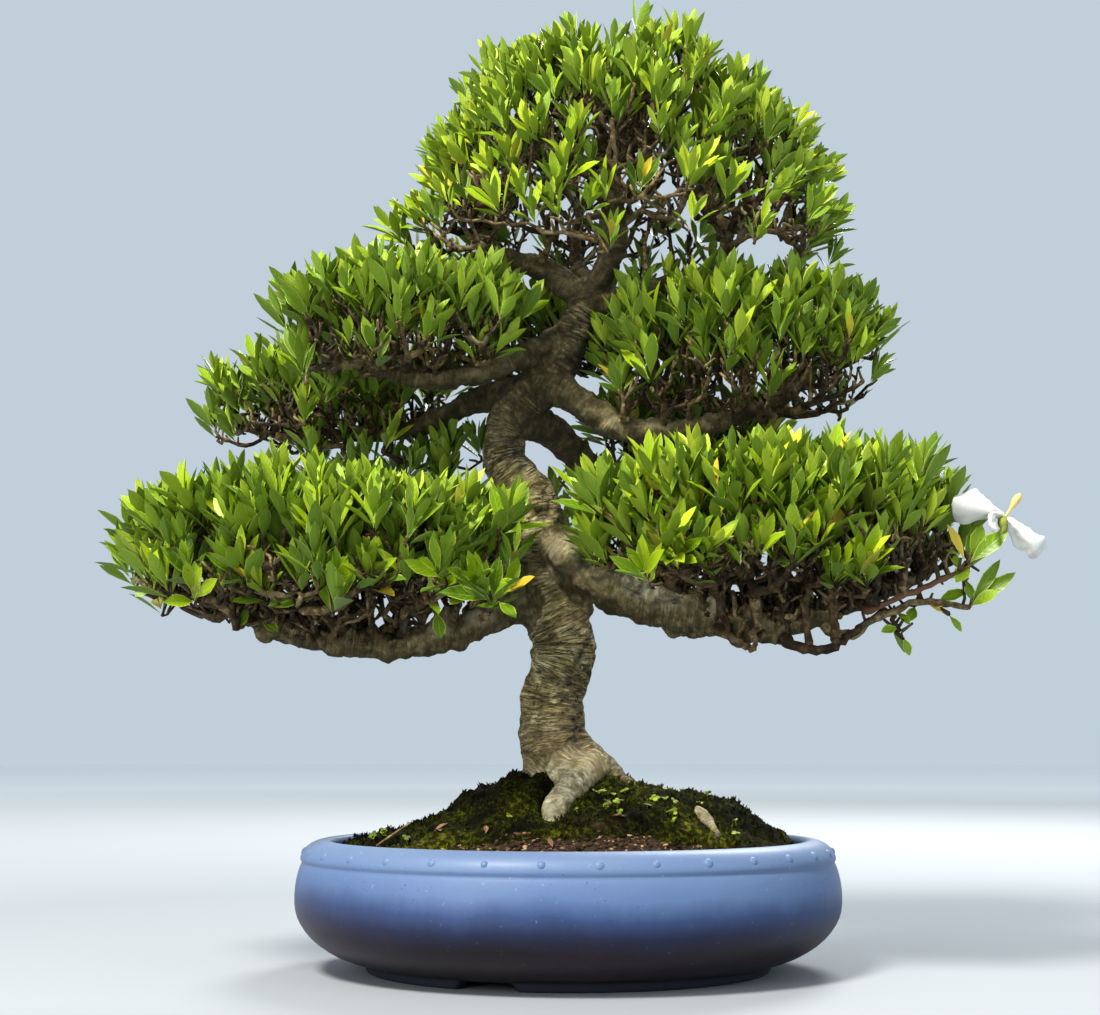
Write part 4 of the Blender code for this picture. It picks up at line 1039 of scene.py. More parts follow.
def shootsOf(name):
    # where the leafy shoots of a pad start, the way they grow, and how much painted shade their leaves get:
    # more the deeper inside the pad they start
    pad, isCrown = pads[name], name == "crown"
    shape = dict(shootShape, **shootShape["crown"]) if isCrown else shootShape
    draw = random.Random("shoots " + name)
    grown = leafShape["grown"].get(name, leafShape["usualGrown"])
    rows = []
    for layer, reach in shape["out"].items():
        for way in spread(pad[layer], reach, shape["skirtCrowd" if layer == "skirt" else "crowd"]):
            way = shaken(way, draw, shape["shake"])
            if isCrown and isOpen(way, draw):
                continue
            far = math.hypot(way.x, way.y)
            tilt = shape["upright"] + shape["lean"] * far ** 2
            axis = Vector((way.x / (far + 1e-6) * tilt, way.y / (far + 1e-6) * tilt, 1))
            axis = (axis + jitter(draw, shape["sway"])).normalized()
            # every layer's depth is drawn, and one is used
            deep = {each: draw.uniform(*depths) for each, depths in shape["deep"].items()}[layer]
            base = dome(pad, way, padShape["side"]) - axis * (leafShape["reach"] * grown + deep)
            base.z += shape["sag"] * far ** 3
            if layer == "skirt":
                base.z -= draw.uniform(*shape["skirtDrop"])
            rows.append((base, axis, min(max(deep, 0) / 20, 1)))
    count, low, high, facing = pad.get("lower", (0, None, None, None))
    for _ in range(count):
        base = Vector([draw.uniform(low[k], high[k]) for k in range(3)])
        # shoots below a pad get half of the painted shade
        rows.append((base, (Vector(facing) + jitter(draw, shape["lowSway"])).normalized(), 0.5))
    return rows


def hasRoom(base, axis):
    # whether a shoot keeps clear of the wood and of the flower
    point, gap = base + axis * shootShape["clearAt"], shootShape["clear"]
    right, front, low = shootShape["flowerGap"]
    hidesFlower = base.x > right and base.y < front and base.z > low
    return not hidesFlower and all((point - place).length > radius + gap for place, radius in woodMarks)


woodMarks = [(Vector(row[:3]) / mm, row[3] / mm)
             for line in (woodShape["trunk"], *limbs.values()) for row in smoothPath(line, 2)]
shoots = {name: [row for row in shootsOf(name) if hasRoom(*row[:2])] for name in pads}
print("shoots", {name: len(rows) for name, rows in shoots.items()})


def leafTemplate():
    # a lens-shaped blade one unit long: along, across, edge, below; and its faces, marked if they are below
    rows = [(0, 0, 0, 0), (1, 0, 0, 0)]
    left, right, rib, low = [0], [0], [0], [0]
    for number, (along, half) in enumerate(leafShape["stations"]):
        count = len(rows)
        rows += [(along, -half, 1, 0), (along, half, 1, 0)]
        left.append(count)
        right.append(count + 1)
        if number:
            rib.append(len(rows))
            rows.append((along, 0, 0, 0))
        if number in (1, 2):
            low.append(len(rows))
            rows.append((along, 0, 0, 1))
    faces = []
    for side, flip in ((left, 1), (right, -1)):
        upper = [(0, rib[1], side[2], side[1]), *((rib[k - 1], rib[k], side[k + 1], side[k]) for k in (2, 3)),
                 (rib[3], 1, side[4])]
        under = [(0, side[1], side[2], low[1]), (low[1], side[2], side[3], low[2]),
                 (low[2], side[3], side[4], 1)]
        faces += [(face[::flip], 0) for face in upper] + [(face[::flip], 1) for face in under]
    return np.array(rows, float), [face for face, _ in faces], [below for _, below in faces]


def leafRows(rows, draw, grown, shade):
    # every leaf of some shoots: root, direction, upper side, length, width, fold, curl, tone, depth (how much
    # painted shade it gets)
    shape = leafShape
    found = []
    for base, axis, deep in rows:
        count = draw.randint(*shape["perShoot"])
        side = axis.cross(leaning(draw, 1, 0.2)).normalized()
        other = axis.cross(side)
        shootTone = draw.uniform(*shape["shootTones"])
        size = draw.uniform(*shape["size"]) * grown
        for k in range(count):
            share = k / (count - 1)
            turn = k * goldenTurn + either(draw, shape["turns"])
            lean = math.radians(shape["widest"] - shape["closing"] * share + either(draw, shape["leans"]))
            out = side * math.cos(turn) + other * math.sin(turn)
            along = axis * math.cos(lean) + out * math.sin(lean)
            face = axis * math.sin(lean) - out * math.cos(lean)
            length = shape["length"] * size * (1.02 - 0.26 * share ** 2) * draw.uniform(*shape["lengths"])
            root = base + axis * (shape["stem"] * share * grown) + out * 0.6
            twist = either(draw, shape["twists"])
            face = (face * math.cos(twist) + along.cross(face) * math.sin(twist)).normalized()
            tone = shade + shootTone + shape["tipTone"] * (share - 0.5) + either(draw, shape["leafTones"])
            tone = shape["yellowTone"] if draw.random() < shape["yellow"] else tone
            width = length * shape["width"] / shape["length"] * draw.uniform(*shape["widths"])
            fold = shape["fold"] * draw.uniform(*shape["folds"])
            curl = shape["curl"] * draw.uniform(*shape["curls"])
            found.append((*root, *along, *face, length, width, fold, curl, tone, deep))
    return found


def loneLeaves(name):
    # leaves that stand by themselves below the pads and round the flower
    found = []
    for foot, tip, width, tone in leafShape["lone"].get(name, ()):
        along = Vector(tip) - Vector(foot)
        across = along.cross(Vector((0.1, -0.8, 0.5))).normalized()
        face = across.cross(along).normalized()
        found.append((*foot, *along.normalized(), *face, along.length, width, 0.3, 0.1, tone, 0))
    return found


def leafMesh(name, rows):
    template, faces, under = leafTemplate()
    root, along, face = rows[:, None, 0:3], rows[:, None, 3:6], rows[:, None, 6:9]
    length, width, fold, curl = (rows[:, None, 9 + k, None] for k in range(4))
    across = np.cross(along, face)
    t, x, _, below = (template[None, :, k, None] for k in range(4))
    half = width / 2
    points = (root + along * length * t - face * curl * length * t ** 2 + across * x * half
              + face * (np.abs(x) * half * fold) - face * below * leafShape["thick"])
    count, size = len(rows), len(template)
    allFaces = [tuple(corner + first for corner in corners)
                for first in range(0, count * size, size) for corners in faces]
    mesh = meshFrom(name, points.reshape(-1, 3) * mm, allFaces)
    blade = np.empty((count, size, 3))
    blade[..., 0] = template[None, :, 0]
    blade[..., 1] = template[None, :, 2]
    blade[..., 2] = rows[:, 13][:, None]
    addValues(mesh, "blade", blade, "FLOAT_VECTOR")
    addValues(mesh, "under", np.tile(np.array(under, float), count), "FLOAT", "FACE")
    addValues(mesh, "deep", np.repeat(rows[:, 14], size))
    return mesh


def leafLook():
    look = Look("leaf", 0.34, Specular_IOR_Level=0.27)
    along, edge, tone = look.split(look.value("blade", "Vector"))
    under = look.value("under")
    base = look.ramp(tone.between(0, 1), (0.0, (0.026, 0.062, 0.0003)), (0.30, (0.074, 0.156, 0.0003)),
                     (0.52, (0.172, 0.292, 0.0005)), (0.76, (0.315, 0.435, 0.002)), (1.0, (0.52, 0.60, 0.02)))
    base = look.blend(tone.between(1.1, 1.3), base, (0.62, 0.42, 0.03))
    blotch = look.noise(120, 3, 0.6)
    base = look.blend(blotch.between(0.35, 0.75) * 0.30, base, (0.06, 0.12, 0.003))
    rib = 1 - edge.between(0.03, 0.13)
    veins = ((along * 46 - edge * 9).wave() * 0.5 + 0.5) ** 3 * (1 - rib)
    base = look.blend(rib * 0.40, base, (0.26, 0.36, 0.05))
    base = look.blend(veins * 0.14, base, (0.24, 0.34, 0.04))
    # pale margins: partly the leaf's own colour, partly a painted highlight where light catches the edges
    base = look.blend(edge.between(0.82, 0.98) * 0.75, base, (0.50, 0.56, 0.11))
    base = look.blend(under * 0.5, base, (0.13, 0.21, 0.02))
    # painted shade on the leaves deep inside the pads and on the shoots below them
    base = look.blend(look.value("deep") * 0.35, base, (0.03, 0.07, 0.002))
    look.feed("Base Color", base)
    look.feed("Roughness", 0.30 + 0.22 * under + 0.12 * blotch)
    look.relief(rib * -0.6 - veins * 0.35 + blotch * 0.2, 0.25 * mm, 0.7)
    return look


leafGreen = leafLook()
for padName, rows in shoots.items():
    grown = leafShape["grown"].get(padName, leafShape["usualGrown"])
    # the pad's tone, with painted light on the crown and the low pads
    shade = leafShape["tone"].get(padName, leafShape["usualTone"])
    blades = np.array(leafRows(rows, random.Random("leaves " + padName), grown, shade) + loneLeaves(padName))
    parts = np.array_split(blades, math.ceil(len(blades) / leafShape["mostPerPiece"]))
    for number, part in enumerate(parts, 1):
        pieceName = padName + "Leaves" + (str(number) if len(parts) > 1 else "")
        piece = newObject(pieceName, leafMesh(pieceName, part))
        handIn(piece, leafGreen, "leaf", pads[padName]["node"], crease=62)


# the twigs: each shoot is joined to the nearest wood below it, so they branch and thicken towards the limbs
twigShape = dict(
    step=5.2, shortest=1.5, thin=0.62, thick=0.27, most=2.3, sides=5, shake=0.75, unevenness=(-0.22, 0.50),
    sideways=1.7, upwards=0.8, detour=0.24, downwards=2.2,  # how little a twig likes each way to its wood
    pull=0.22, rise=0.12, push=0.36,  # how its curve leaves the wood and reaches its end
    ribReach=0.93, ribShake=0.06, ribLevel=(0, 0.25), crownRib=(44, 52), crownRibs=(0.8, 1.2),
    # a bare twig ends in one of two ranges: often in the first, by the share before it
    bareReach=0.97, bareShake=0.08, bareLevel=(0.55, (0.02, 0.45), (0.3, 0.95)),
    crownSide=(18, 62), crownTop=(0.6, (26, 80), (60, 128)),
    spurs=0.9, spurLong=(2, 8), spurRadii=(0.95, 0.80, 0.62),
    deadLong=(3, 8), deadRise=15, deadFat=(0.7, 1.3), youngTone=1.3, trunkFrom=23,
)


def oneOf(draw, share, often, seldom):
    return draw.uniform(*(often if draw.random() < share else seldom))


def twigTargets(name, draw):
    # the ends of the side branches; and those of the leafy shoots, the single leaves and the bare twigs
    pad, shape, isCrown = pads[name], twigShape, name == "crown"
    ribs = []
    for way in spread(pad["ribs"], shape["ribReach"]):
        way = shaken(way, draw, shape["ribShake"])
        if isCrown:
            side, top = (inside * draw.uniform(*shape["crownRibs"]) for inside in shape["crownRib"])
            end = dome(pad, way, side, top)
        else:
            end = bowl(pad, way, draw.uniform(*shape["ribLevel"]))
        ribs.append((np.array(end), np.array((way.x, way.y, 0.35))))
    rest = [(np.array(base - axis * 1.5), np.array(axis)) for base, axis, _ in shoots[name]]
    for foot, tip, _, _ in leafShape["lone"].get(name, ()):
        rest.append((np.array(foot, float), np.array(tip, float) - foot))
    for way in spread(pad["bare"], shape["bareReach"]):
        way = shaken(way, draw, shape["bareShake"])
        if isCrown:
            base = dome(pad, way, draw.uniform(*shape["crownSide"]), oneOf(draw, *shape["crownTop"]))
        else:
            base = bowl(pad, way, oneOf(draw, *shape["bareLevel"]))
        rest.append((np.array(base), np.array((way.x * 0.6, way.y * 0.6, 0.8))))
    return ribs, rest


def deadSpurs(pad, line, draw, heap):
    # knobbly spurs where earlier twigs were cut, long on top of the limb and short below it
    shape = twigShape
    for _ in range(pad.get("dead", 0)):
        row = line[draw.randrange(len(line) // 3, len(line) - 2)] / mm
        way = Vector((draw.gauss(0, 0.7), draw.gauss(-0.3, 0.9), draw.gauss(0.4, 0.8))).normalized()
        way.z = max(way.z, -0.35)
        long = draw.uniform(*shape["deadLong"]) + shape["deadRise"] * max(way.z, 0)
        root = Vector(row[:3]) + way * row[3] * 0.6
        bends = [Vector([draw.gauss(0, 0.12) * long for _ in range(3)]) for _ in range(3)]
        fat = draw.uniform(*shape["deadFat"])
        spur = [(*root, fat * 2.4)]
        for k, bend in enumerate(bends, 1):
            spur.append((*(root + way * long * k / 3 + bend), fat * (2.3 - 0.4 * k)))
        heap.add(*tube(np.array(spur) * mm, 6), draw.random())


def lowBranches(pad, line, draw, heap):
    # the pad's single low branches; returns the line of places that twigs can grow from
    for number, path in enumerate(pad.get("low", ())):
        branch = smoothPath(path, 5)
        branch[1:-1, :3] += [[draw.gauss(0, 0.5) * mm for _ in range(3)] for _ in branch[1:-1]]
        branch[:, 3] *= [draw.uniform(0.85, 1.35) for _ in branch]
        heap.add(*tube(branch, 7), twigShape["youngTone"] if number == pad.get("young") else draw.random())
        line = np.concatenate([line, branch[2:]])
    return line


class TwigTree:
    # places that twigs grow through: each knows the one before it, its way and how far it is from the limb
    def __init__(self, line):
        self.places = [row[:3] / mm for row in line]
        self.parents = [-1] * len(line)
        self.costs = [0.0] * len(line)
        self.heads = [np.zeros(3)] * len(line)
        self.ends = []

    def growTo(self, target, axis, draw):
        shape = twigShape
        known = np.array(self.places)
        gap = known - target
        # twigs rather rise from wood below them than reach sideways
        flat, up = np.hypot(gap[:, 0], gap[:, 1]), gap[:, 2]
        score = np.hypot(flat * shape["sideways"], up * shape["upwards"])
        score = score + shape["detour"] * np.array(self.costs) + np.maximum(up + 4, 0) * shape["downwards"]
        start = here = int(np.argmin(score))
        origin = known[start]
        far = np.linalg.norm(target - origin)
        if far < shape["shortest"]:
            return
        pull = origin + self.heads[start] * far * shape["pull"] + np.array((0, 0, far * shape["rise"]))
        push = target - axis / np.linalg.norm(axis) * far * shape["push"]
        steps = max(2, round(far / shape["step"]))
        for step in range(1, steps + 1):
            t, u = step / steps, 1 - step / steps
            place = u ** 3 * origin + 3 * u ** 2 * t * pull + 3 * u * t * t * push + t ** 3 * target
            if step < steps:
                place = place + np.array([draw.gauss(0, shape["shake"]) for _ in range(3)])
            way = place - self.places[here]
            length = np.linalg.norm(way) + 1e-9
            self.places.append(place)
            self.parents.append(here)
            self.costs.append(self.costs[here] + length)
            self.heads.append(way / length)
            here = len(self.places) - 1
        self.ends.append((start, here))

    def radii(self):
        # a place is thicker, the more twigs grow through it
        counts = [0] * len(self.places)
        for _, here in self.ends:
            while here >= 0:
                counts[here] += 1
                here = self.parents[here]
        thin, thick, most = (twigShape[key] for key in ("thin", "thick", "most"))
        return [min(thin + thick * max(count - 1, 0) ** 0.5, most) for count in counts]


def twigSpur(root, draw, heap):
    # a short dead stub beside a twig
    way = Vector((draw.gauss(0, 1), draw.gauss(0, 1), draw.gauss(1.0, 0.8))).normalized()
    long = draw.uniform(*twigShape["spurLong"])
    bend = Vector((draw.gauss(0, 0.8), draw.gauss(0, 0.8), draw.gauss(0.6, 0.8)))
    places = (root, root + way * long * 0.5, root + way * long + bend)
    rows = [(*place, radius) for place, radius in zip(places, twigShape["spurRadii"])]
    heap.add(*tube(np.array(rows) * mm, 4), draw.random())


def growTwigs(name):
    pad, heap = pads[name], Heap()
    draw = random.Random("twigs " + name)
    line = np.concatenate([smoothPath(limbs[limb][2:], 4) for limb in pad["limbs"]])
    deadSpurs(pad, line, draw, heap)
    line = lowBranches(pad, line, draw, heap)
    if name == "crown":
        line = np.concatenate([line, smoothPath(woodShape["trunk"][twigShape["trunkFrom"]:], 4)])
    tree = TwigTree(line)
    marks = np.array(tree.places)

    def fromLimb(item):
        return float(np.min(np.linalg.norm(marks - item[0], axis=1)))

    # first the side branches, then the rest, each from the limb outwards
    ribs, rest = twigTargets(name, draw)
    for target, axis in sorted(ribs, key=fromLimb) + sorted(rest, key=fromLimb):
        tree.growTo(target, axis, draw)
    radii = tree.radii()
    for start, here in tree.ends:
        rows = []
        while here != start and here >= 0:
            rows.append((*tree.places[here], radii[here] * (1 + draw.uniform(*twigShape["unevenness"]))))
            here = tree.parents[here]
        rows.append((*tree.places[start], min(radii[here], rows[-1][3] * 1.25)))
        rows.reverse()
        heap.add(*tube(np.array(rows) * mm, twigShape["sides"]), draw.random())
        for row in rows[1:]:
            if draw.random() < twigShape["spurs"]:
                twigSpur(Vector(row[:3]), draw, heap)
    return heap.piece(name + "Twigs")


def twigLook():
    look = Look("twig", 0.88, Specular_IOR_Level=0.25)
    tone = look.value("tone")
    rough = look.noise(260, 4, 0.7)
    base = look.ramp(rough * 0.75 + tone * 0.25,
                     (0.32, (0.007, 0.004, 0.0015)), (0.45, (0.030, 0.018, 0.006)),
                     (0.57, (0.082, 0.055, 0.020)), (0.70, (0.240, 0.185, 0.090)))
    base = look.blend(look.noise(70, 3).between(0.58, 0.70) * 0.5, base, (0.14, 0.13, 0.08))
    base = look.blend(tone.between(1.1, 1.2) * 0.8, base, (0.095, 0.030, 0.014))  # one young red branch
    look.feed("Base Color", base)
    look.relief(rough + look.noise(800, 3, 0.6) * 0.4, 0.4 * mm)
    return look


twigBrown = twigLook()
for padName in pads:
    handIn(growTwigs(padName), twigBrown, "bark", "trunk", crease=80)


# the flower: loose, folded white petals past the outer end of the low right pad. Each row across a petal is
# given by one edge, the fold and the other edge, in mm
flowerShape = dict(
    petalThick=0.45, across=11, waves=(0.35, 0.45), waveRise=0.3, waveGrow=0.12, calmRows=6,
    stalk=((214.8, -60.4, 226.6, 1.4), (214.5, -60.6, 225, 2.3), (214.3, -61, 222.8, 2.5),
           (214.7, -61, 220.3, 1.9), (213, -60, 217.2, 1.5), (209.4, -58, 212.2, 1.3),
           (206, -55, 208.2, 1.3), (200.7, -52, 204, 1.3), (194, -50, 199.2, 1.4), (184, -48, 196, 1.5)),
    pistil=((215.6, -60.5, 225.6, 0.7), (217.1, -60.7, 228, 0.7), (218.6, -60.9, 230.2, 0.9),
            (219.7, -61, 232, 1.5), (220.9, -61.1, 234, 1.9), (222.2, -61.2, 235.7, 1.9),
            (223.2, -61.3, 237.2, 1.1)),
    petals=(
        (((214.8, -60, 228.1), (215.2, -60.5, 226.6), (214.7, -60, 225.1)),
         ((208.8, -61, 232.7), (208.2, -65, 228.5), (207.1, -61, 226)),
         ((204.9, -59, 237), (201.9, -67, 230.2), (200.6, -61, 224.3)),
         ((203, -55, 240.3), (195.5, -67, 232.2), (194.4, -62, 222.2)),
         ((198.4, -53, 239), (190.8, -64, 233.3), (190.6, -62, 224.9)),
         ((195.4, -53, 237.3), (190.3, -60, 234.6), (190.2, -62, 228.4))),
        (((216.8, -60, 226.9), (215.9, -60.5, 226.1), (215.7, -60, 225.1)),
         ((222.4, -60, 223.9), (218.9, -66, 221.6), (217.6, -62, 222.4)),
         ((227.5, -60, 220.9), (222.8, -68, 217.4), (220.6, -62, 217.3)),
         ((231.8, -60, 217.7), (226.6, -68, 213.2), (223.8, -62, 211.2)),
         ((235.5, -59, 216), (229.6, -66, 209.8), (226.4, -61, 206.6)),
         ((236.2, -58, 211.2), (232, -63, 207.2), (229.6, -60, 205))),
        (((213.3, -62, 227.9), (213.1, -63, 227), (213.3, -62, 226.4)),
         ((208.2, -65, 227.8), (208.1, -67, 226.8), (210.3, -64, 226.4)),
         ((205.6, -68, 223.7), (206.3, -70, 223), (208.8, -66, 223.2)),
         ((206, -69, 220.1), (207, -71, 220.1), (208.9, -68, 220.7)),
         ((208.6, -68, 217.5), (208.9, -70, 217.8), (210.1, -68, 218.3))),
        (((214.8, -59.5, 227.5), (214.6, -59, 226.8), (214.4, -59.5, 226)),
         ((208, -53, 231), (207, -52, 228), (206, -53, 225.5)),
         ((204, -46, 235), (201, -44, 230), (198, -46, 225)),
         ((200, -41, 236), (196, -38, 230), (194, -41, 226)),
         ((197, -38, 234), (195, -36, 231), (194, -38, 228))),
        (((216, -59.5, 226.2), (216, -59, 225.6), (215.6, -59.5, 225)),
         ((222, -53, 223), (220.5, -52, 221.6), (219, -53, 220.8)),
         ((227, -47, 219.6), (225, -45, 217), (222.8, -47, 215.4)),
         ((231, -42, 216.4), (229, -39, 213.4), (226.6, -42, 212)),
         ((232, -39, 213.4), (231, -37, 211.8), (229.4, -39, 211))),
    ),
)


def petal(rows, number):
    # a thin curved sheet through the given rows, wavy at its edges
    shape = flowerShape
    lines = [smoothPath([row[place] for row in rows], 5) for place in range(3)]
    share = np.linspace(0, 1, shape["across"])[None, :, None]
    one, fold, other = (line[:, None, :] for line in lines)
    grid = one * (1 - share) * (1 - 2 * share) + fold * 4 * share * (1 - share)
    grid += other * share * (2 * share - 1)
    facing = np.cross(np.gradient(grid, axis=0), np.gradient(grid, axis=1))
    facing /= np.linalg.norm(facing, axis=2)[..., None] + 1e-12
    rows, columns = grid.shape[:2]
    for i in range(rows):
        for j in range(columns):
            wave = noise.noise(Vector((i * shape["waves"][0] + number * 7, j * shape["waves"][1], 0.4)))
            rise = shape["waveRise"] + abs(j - columns // 2) * shape["waveGrow"]
            grid[i, j] += facing[i, j] * wave * rise * mm * min(i / shape["calmRows"], 1)
    points = np.concatenate([grid.reshape(-1, 3), (grid + facing * shape["petalThick"] * mm).reshape(-1, 3)])
    size = rows * columns
    faces = []
    for i in range(rows - 1):
        for j in range(columns - 1):
            a = i * columns + j
            b = a + columns
            faces += [(a, a + 1, b + 1, b), (size + a, size + b, size + b + 1, size + a + 1)]
    edge = [k * columns for k in range(rows)] + [(rows - 1) * columns + j for j in range(1, columns)]
    edge += [k * columns + columns - 1 for k in range(rows - 2, -1, -1)] + list(range(columns - 2, 0, -1))
    faces += [(a, b, size + b, size + a) for a, b in zip(edge, edge[1:] + edge[:1])]
    return points, faces


def makeFlower():
    heap = Heap()
    for number, rows in enumerate(flowerShape["petals"]):
        heap.add(*petal(rows, number), number / 7)
    flower = heap.piece("flowerPetals")
    with reshaped(flower.data) as body:
        bmesh.ops.recalc_face_normals(body, faces=body.faces)
    return flower


def petalLook():
    look = Look("petal", 0.55, Sheen_Weight=0.15)
    soft = look.noise(90, 4, 0.6)
    base = look.ramp(soft, (0.30, (0.44, 0.45, 0.43)), (0.55, (0.56, 0.57, 0.54)), (0.75, (0.64, 0.62, 0.54)))
    base = look.blend(look.noise(160, 3).between(0.60, 0.74) * 0.5, base, (0.70, 0.58, 0.34))
    look.feed("Base Color", base)
    look.relief(look.noise(420, 3, 0.6, stretch=(1, 1, 0.3)), 0.3 * mm, 0.6)
    return look


handIn(makeFlower(), petalLook(), "petal", "flower", crease=70)
pistilYellow = grainyLook("pistil", 0.6, 900, (0.52, 0.31, 0.06), (0.74, 0.54, 0.22), 0.2 * mm)
handIn(stem("flowerPistil", flowerShape["pistil"], 14), pistilYellow, "pistil", "pistil", crease=80)
stalkGreen = grainyLook("youngStalk", 0.5, 500, (0.130, 0.170, 0.012), (0.330, 0.350, 0.055), 0.2 * mm,
                       Specular_IOR_Level=0.3)
handIn(stem("flowerStalk", flowerShape["stalk"], 12), stalkGreen, "leaf", "foliage_low_right", crease=80)


# small things on the mound: seedlings, fallen leaves, a dry stick
litterShape = dict(
    # how many seedlings stand between two x and two y, in mm
    seedlings=((22, (10, 84), (-70, -34)), (5, (-108, -90), (-34, -18)), (16, (-80, 90), (-66, 70))),
    seedlingTall=(0.8, 3.2), lobes=3, lobeLong=(0.8, 1.6), lobeThick=0.22,
    leaves=((-66, -52), (-62, -60), (-40, -68), (-18, -82), (6, -86), (30, -84), (-52, -76), (58, -70),
            (-84, -30), (20, -70), (-8, -88), (44, -80), (-30, -86), (70, 40), (-50, 50), (12, 74)),
    leafRise=0.8, leafLong=(5, 9.5), leafWide=(0.34, 0.5), leafFold=(0.2, 0.9), leafCurl=(-0.3, 0.2),
    browns=((0.0, (0.060, 0.022, 0.010)), (0.5, (0.135, 0.055, 0.025)), (1.0, (0.230, 0.120, 0.060))),
    stick=((-93, -62, 66, 0.5), (-88, -61, 69.5, 0.6), (-82, -60, 73.5, 0.6), (-77, -59, 77, 0.5)),
)


def makeSeedlings():
    shape, heap = litterShape, Heap()
    draw = random.Random(77)
    spots = [(draw.uniform(*wide), draw.uniform(*deep))
             for count, wide, deep in shape["seedlings"] for _ in range(count)]
    for x, y in spots:
        far = mossShare(x, y)
        if far > 1:
            continue
        floor = mossTop(x, y, far)
        tip = Vector((x + draw.uniform(-1, 1), y + draw.uniform(-1, 1),
                      floor + draw.uniform(*shape["seedlingTall"])))
        heap.add(*tube(np.array([(x, y, floor - 1, 0.35), (*tip, 0.3)]) * mm, 4), 0.4)
        grown = draw.uniform(*shape["lobeLong"])
        facing = Vector((draw.uniform(-0.5, 0.5), draw.uniform(-1.1, 0.1), 0.9)).normalized()
        start = facing.cross(leaning(draw, 1, 0.1)).normalized()
        for k in range(shape["lobes"]):
            out = Matrix.Rotation(k * math.tau / shape["lobes"] + draw.uniform(-0.3, 0.3), 3, facing) @ start
            size = grown * draw.uniform(0.8, 1.15)
            turned = Matrix((out, facing.cross(out), facing)).transposed().to_4x4()
            grow = Matrix.Diagonal((size * 0.9, size * 0.85, shape["lobeThick"], 1))
            place = Matrix.Translation(tip + out * size * 0.9) @ turned @ grow
            lobe = bmesh.new()
            bmesh.ops.create_uvsphere(lobe, u_segments=8, v_segments=4, radius=1, matrix=place)
            points, faces = shapeOf(lobe)
            heap.add(points * mm, faces, draw.random())
    return heap.piece("seedlings")


def seedlingLook():
    look = Look("seedling", 0.5, Specular_IOR_Level=0.1)
    shade = look.value("tone") * 0.7 + look.noise(300, 2) * 0.3
    look.feed("Base Color", look.ramp(shade, (0.1, (0.030, 0.050, 0.001)), (0.5, (0.090, 0.130, 0.003)),
                                      (0.9, (0.23, 0.28, 0.02))))
    look.relief(look.noise(900, 2), 0.2 * mm)
    return look


handIn(makeSeedlings(), seedlingLook(), "moss", "moss", crease=70)


def makeLitter():
    # fallen leaves lie on the moss and the bare soil, each dried and curled its own way
    shape, rows = litterShape, []
    draw = random.Random(14)
    for x, y in shape["leaves"]:
        far = mossShare(x, y)
        floor = shape["leafRise"] + (mossTop(x, y, far) if far < 1 else soilTop(x, y))
        heading = draw.uniform(0, math.tau)
        out = Vector((math.cos(heading), math.sin(heading), 0))
        slope = (ground(x + 3 * out.x, y + 3 * out.y) - ground(x, y)) / 3
        along = Vector((out.x, out.y, slope + draw.uniform(-0.05, 0.15))).normalized()
        face = along.cross(Vector((-out.y, out.x, draw.uniform(-0.3, 0.3)))).normalized()
        if face.z < 0:
            face = -face
        length = draw.uniform(*shape["leafLong"])
        width = length * draw.uniform(*shape["leafWide"])
        fold, curl = draw.uniform(*shape["leafFold"]), draw.uniform(*shape["leafCurl"])
        rows.append((x, y, floor, *along, *face, length, width, fold, curl, draw.random(), 0))
    return newObject("fallenLeaves", leafMesh("fallenLeaves", np.array(rows)))


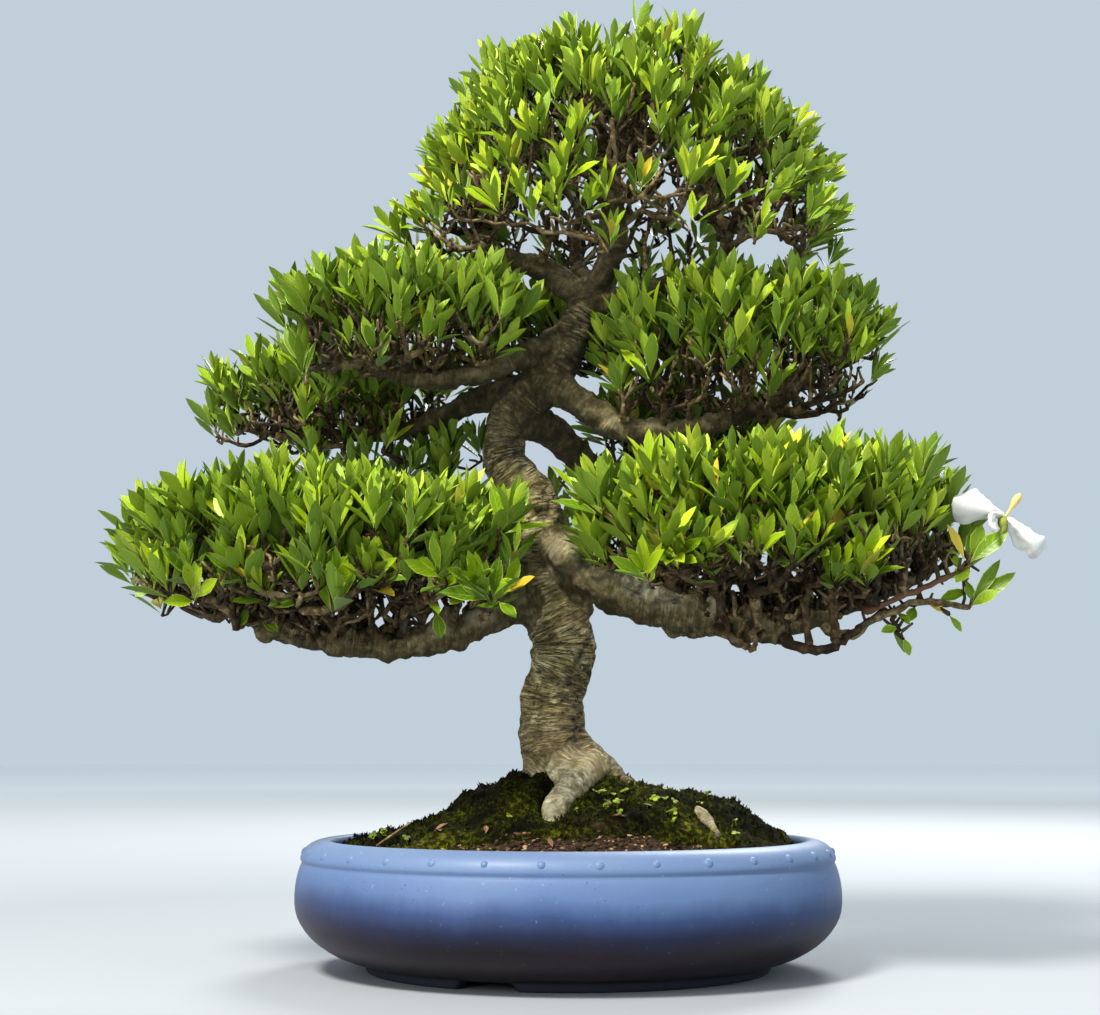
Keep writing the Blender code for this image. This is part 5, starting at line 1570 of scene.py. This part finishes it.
def litterLook():
    look = Look("dryLeaf", 0.7)
    edge, tone = look.split(look.value("blade", "Vector"), "YZ")
    base = look.ramp(tone, *litterShape["browns"])
    base = look.blend(look.noise(200, 4, 0.6).between(0.5, 0.7) * 0.6, base, (0.045, 0.020, 0.010))
    base = look.blend((1 - edge.between(0.04, 0.16)) * 0.4, base, (0.24, 0.14, 0.07))
    look.feed("Base Color", base)
    look.relief(look.noise(300, 3), 0.4 * mm)
    return look


handIn(makeLitter(), litterLook(), "moss", "moss", crease=62)
handIn(stem("dryStick", litterShape["stick"], 8, 5, 0.9), twigBrown, "bark", "soil", crease=80)


# the stage: a plain pale floor, a pale surround and soft studio lights
studio = dict(
    floor=(0.26, 0.28, 0.30), farFloor=(0.92, 0.93, 0.94), floorFade=(0.5, 3.2), floorReach=6,
    surround=(0.66, 0.78, 0.87), surroundStrength=0.80, aim=(0, 0, 0.26),
    # each light: where it stands, its size, power and colour
    lights=(("key", (-0.70, -1.05, 1.70), 0.50, 84, (1.0, 0.96, 0.88)),
            ("low", (-1.00, -1.30, 0.55), 0.9, 13, (1.0, 0.96, 0.90)),
            ("fill", (1.4, -1.0, 0.8), 1.2, 8, (0.94, 0.97, 1.0)),
            ("rim", (0.5, 1.2, 1.3), 0.7, 30, (1.0, 1.0, 0.98))),
)


def makeStage():
    disk = bmesh.new()
    bmesh.ops.create_circle(disk, cap_ends=True, segments=96, radius=studio["floorReach"])
    floor = newObject("floor", meshFrom("floor", *shapeOf(disk)))
    look = Look("floor", 0.8)
    out = look.node("VectorMath", {"operation": "LENGTH"}, {0: look.place}, "Value")
    fade = out.between(*studio["floorFade"])
    look.feed("Base Color", look.blend(fade, studio["floor"], studio["farFloor"]))
    floor.data.materials.append(look.material)
    world = bpy.data.worlds.new("surround")
    world.use_nodes = True
    sky = world.node_tree.nodes["Background"]
    sky.inputs["Color"].default_value = (*studio["surround"], 1)
    sky.inputs["Strength"].default_value = studio["surroundStrength"]
    bpy.context.scene.world = world
    for name, place, size, power, colour in studio["lights"]:
        lamp = bpy.data.lights.new(name, "AREA")
        lamp.shape, lamp.size, lamp.energy, lamp.color = "DISK", size, power, colour
        made = newObject(name, lamp)
        made.location = place
        made.rotation_euler = (Vector(studio["aim"]) - Vector(place)).to_track_quat("-Z", "Y").to_euler()


makeStage()
bpy.context.scene.view_settings.view_transform = "Standard"
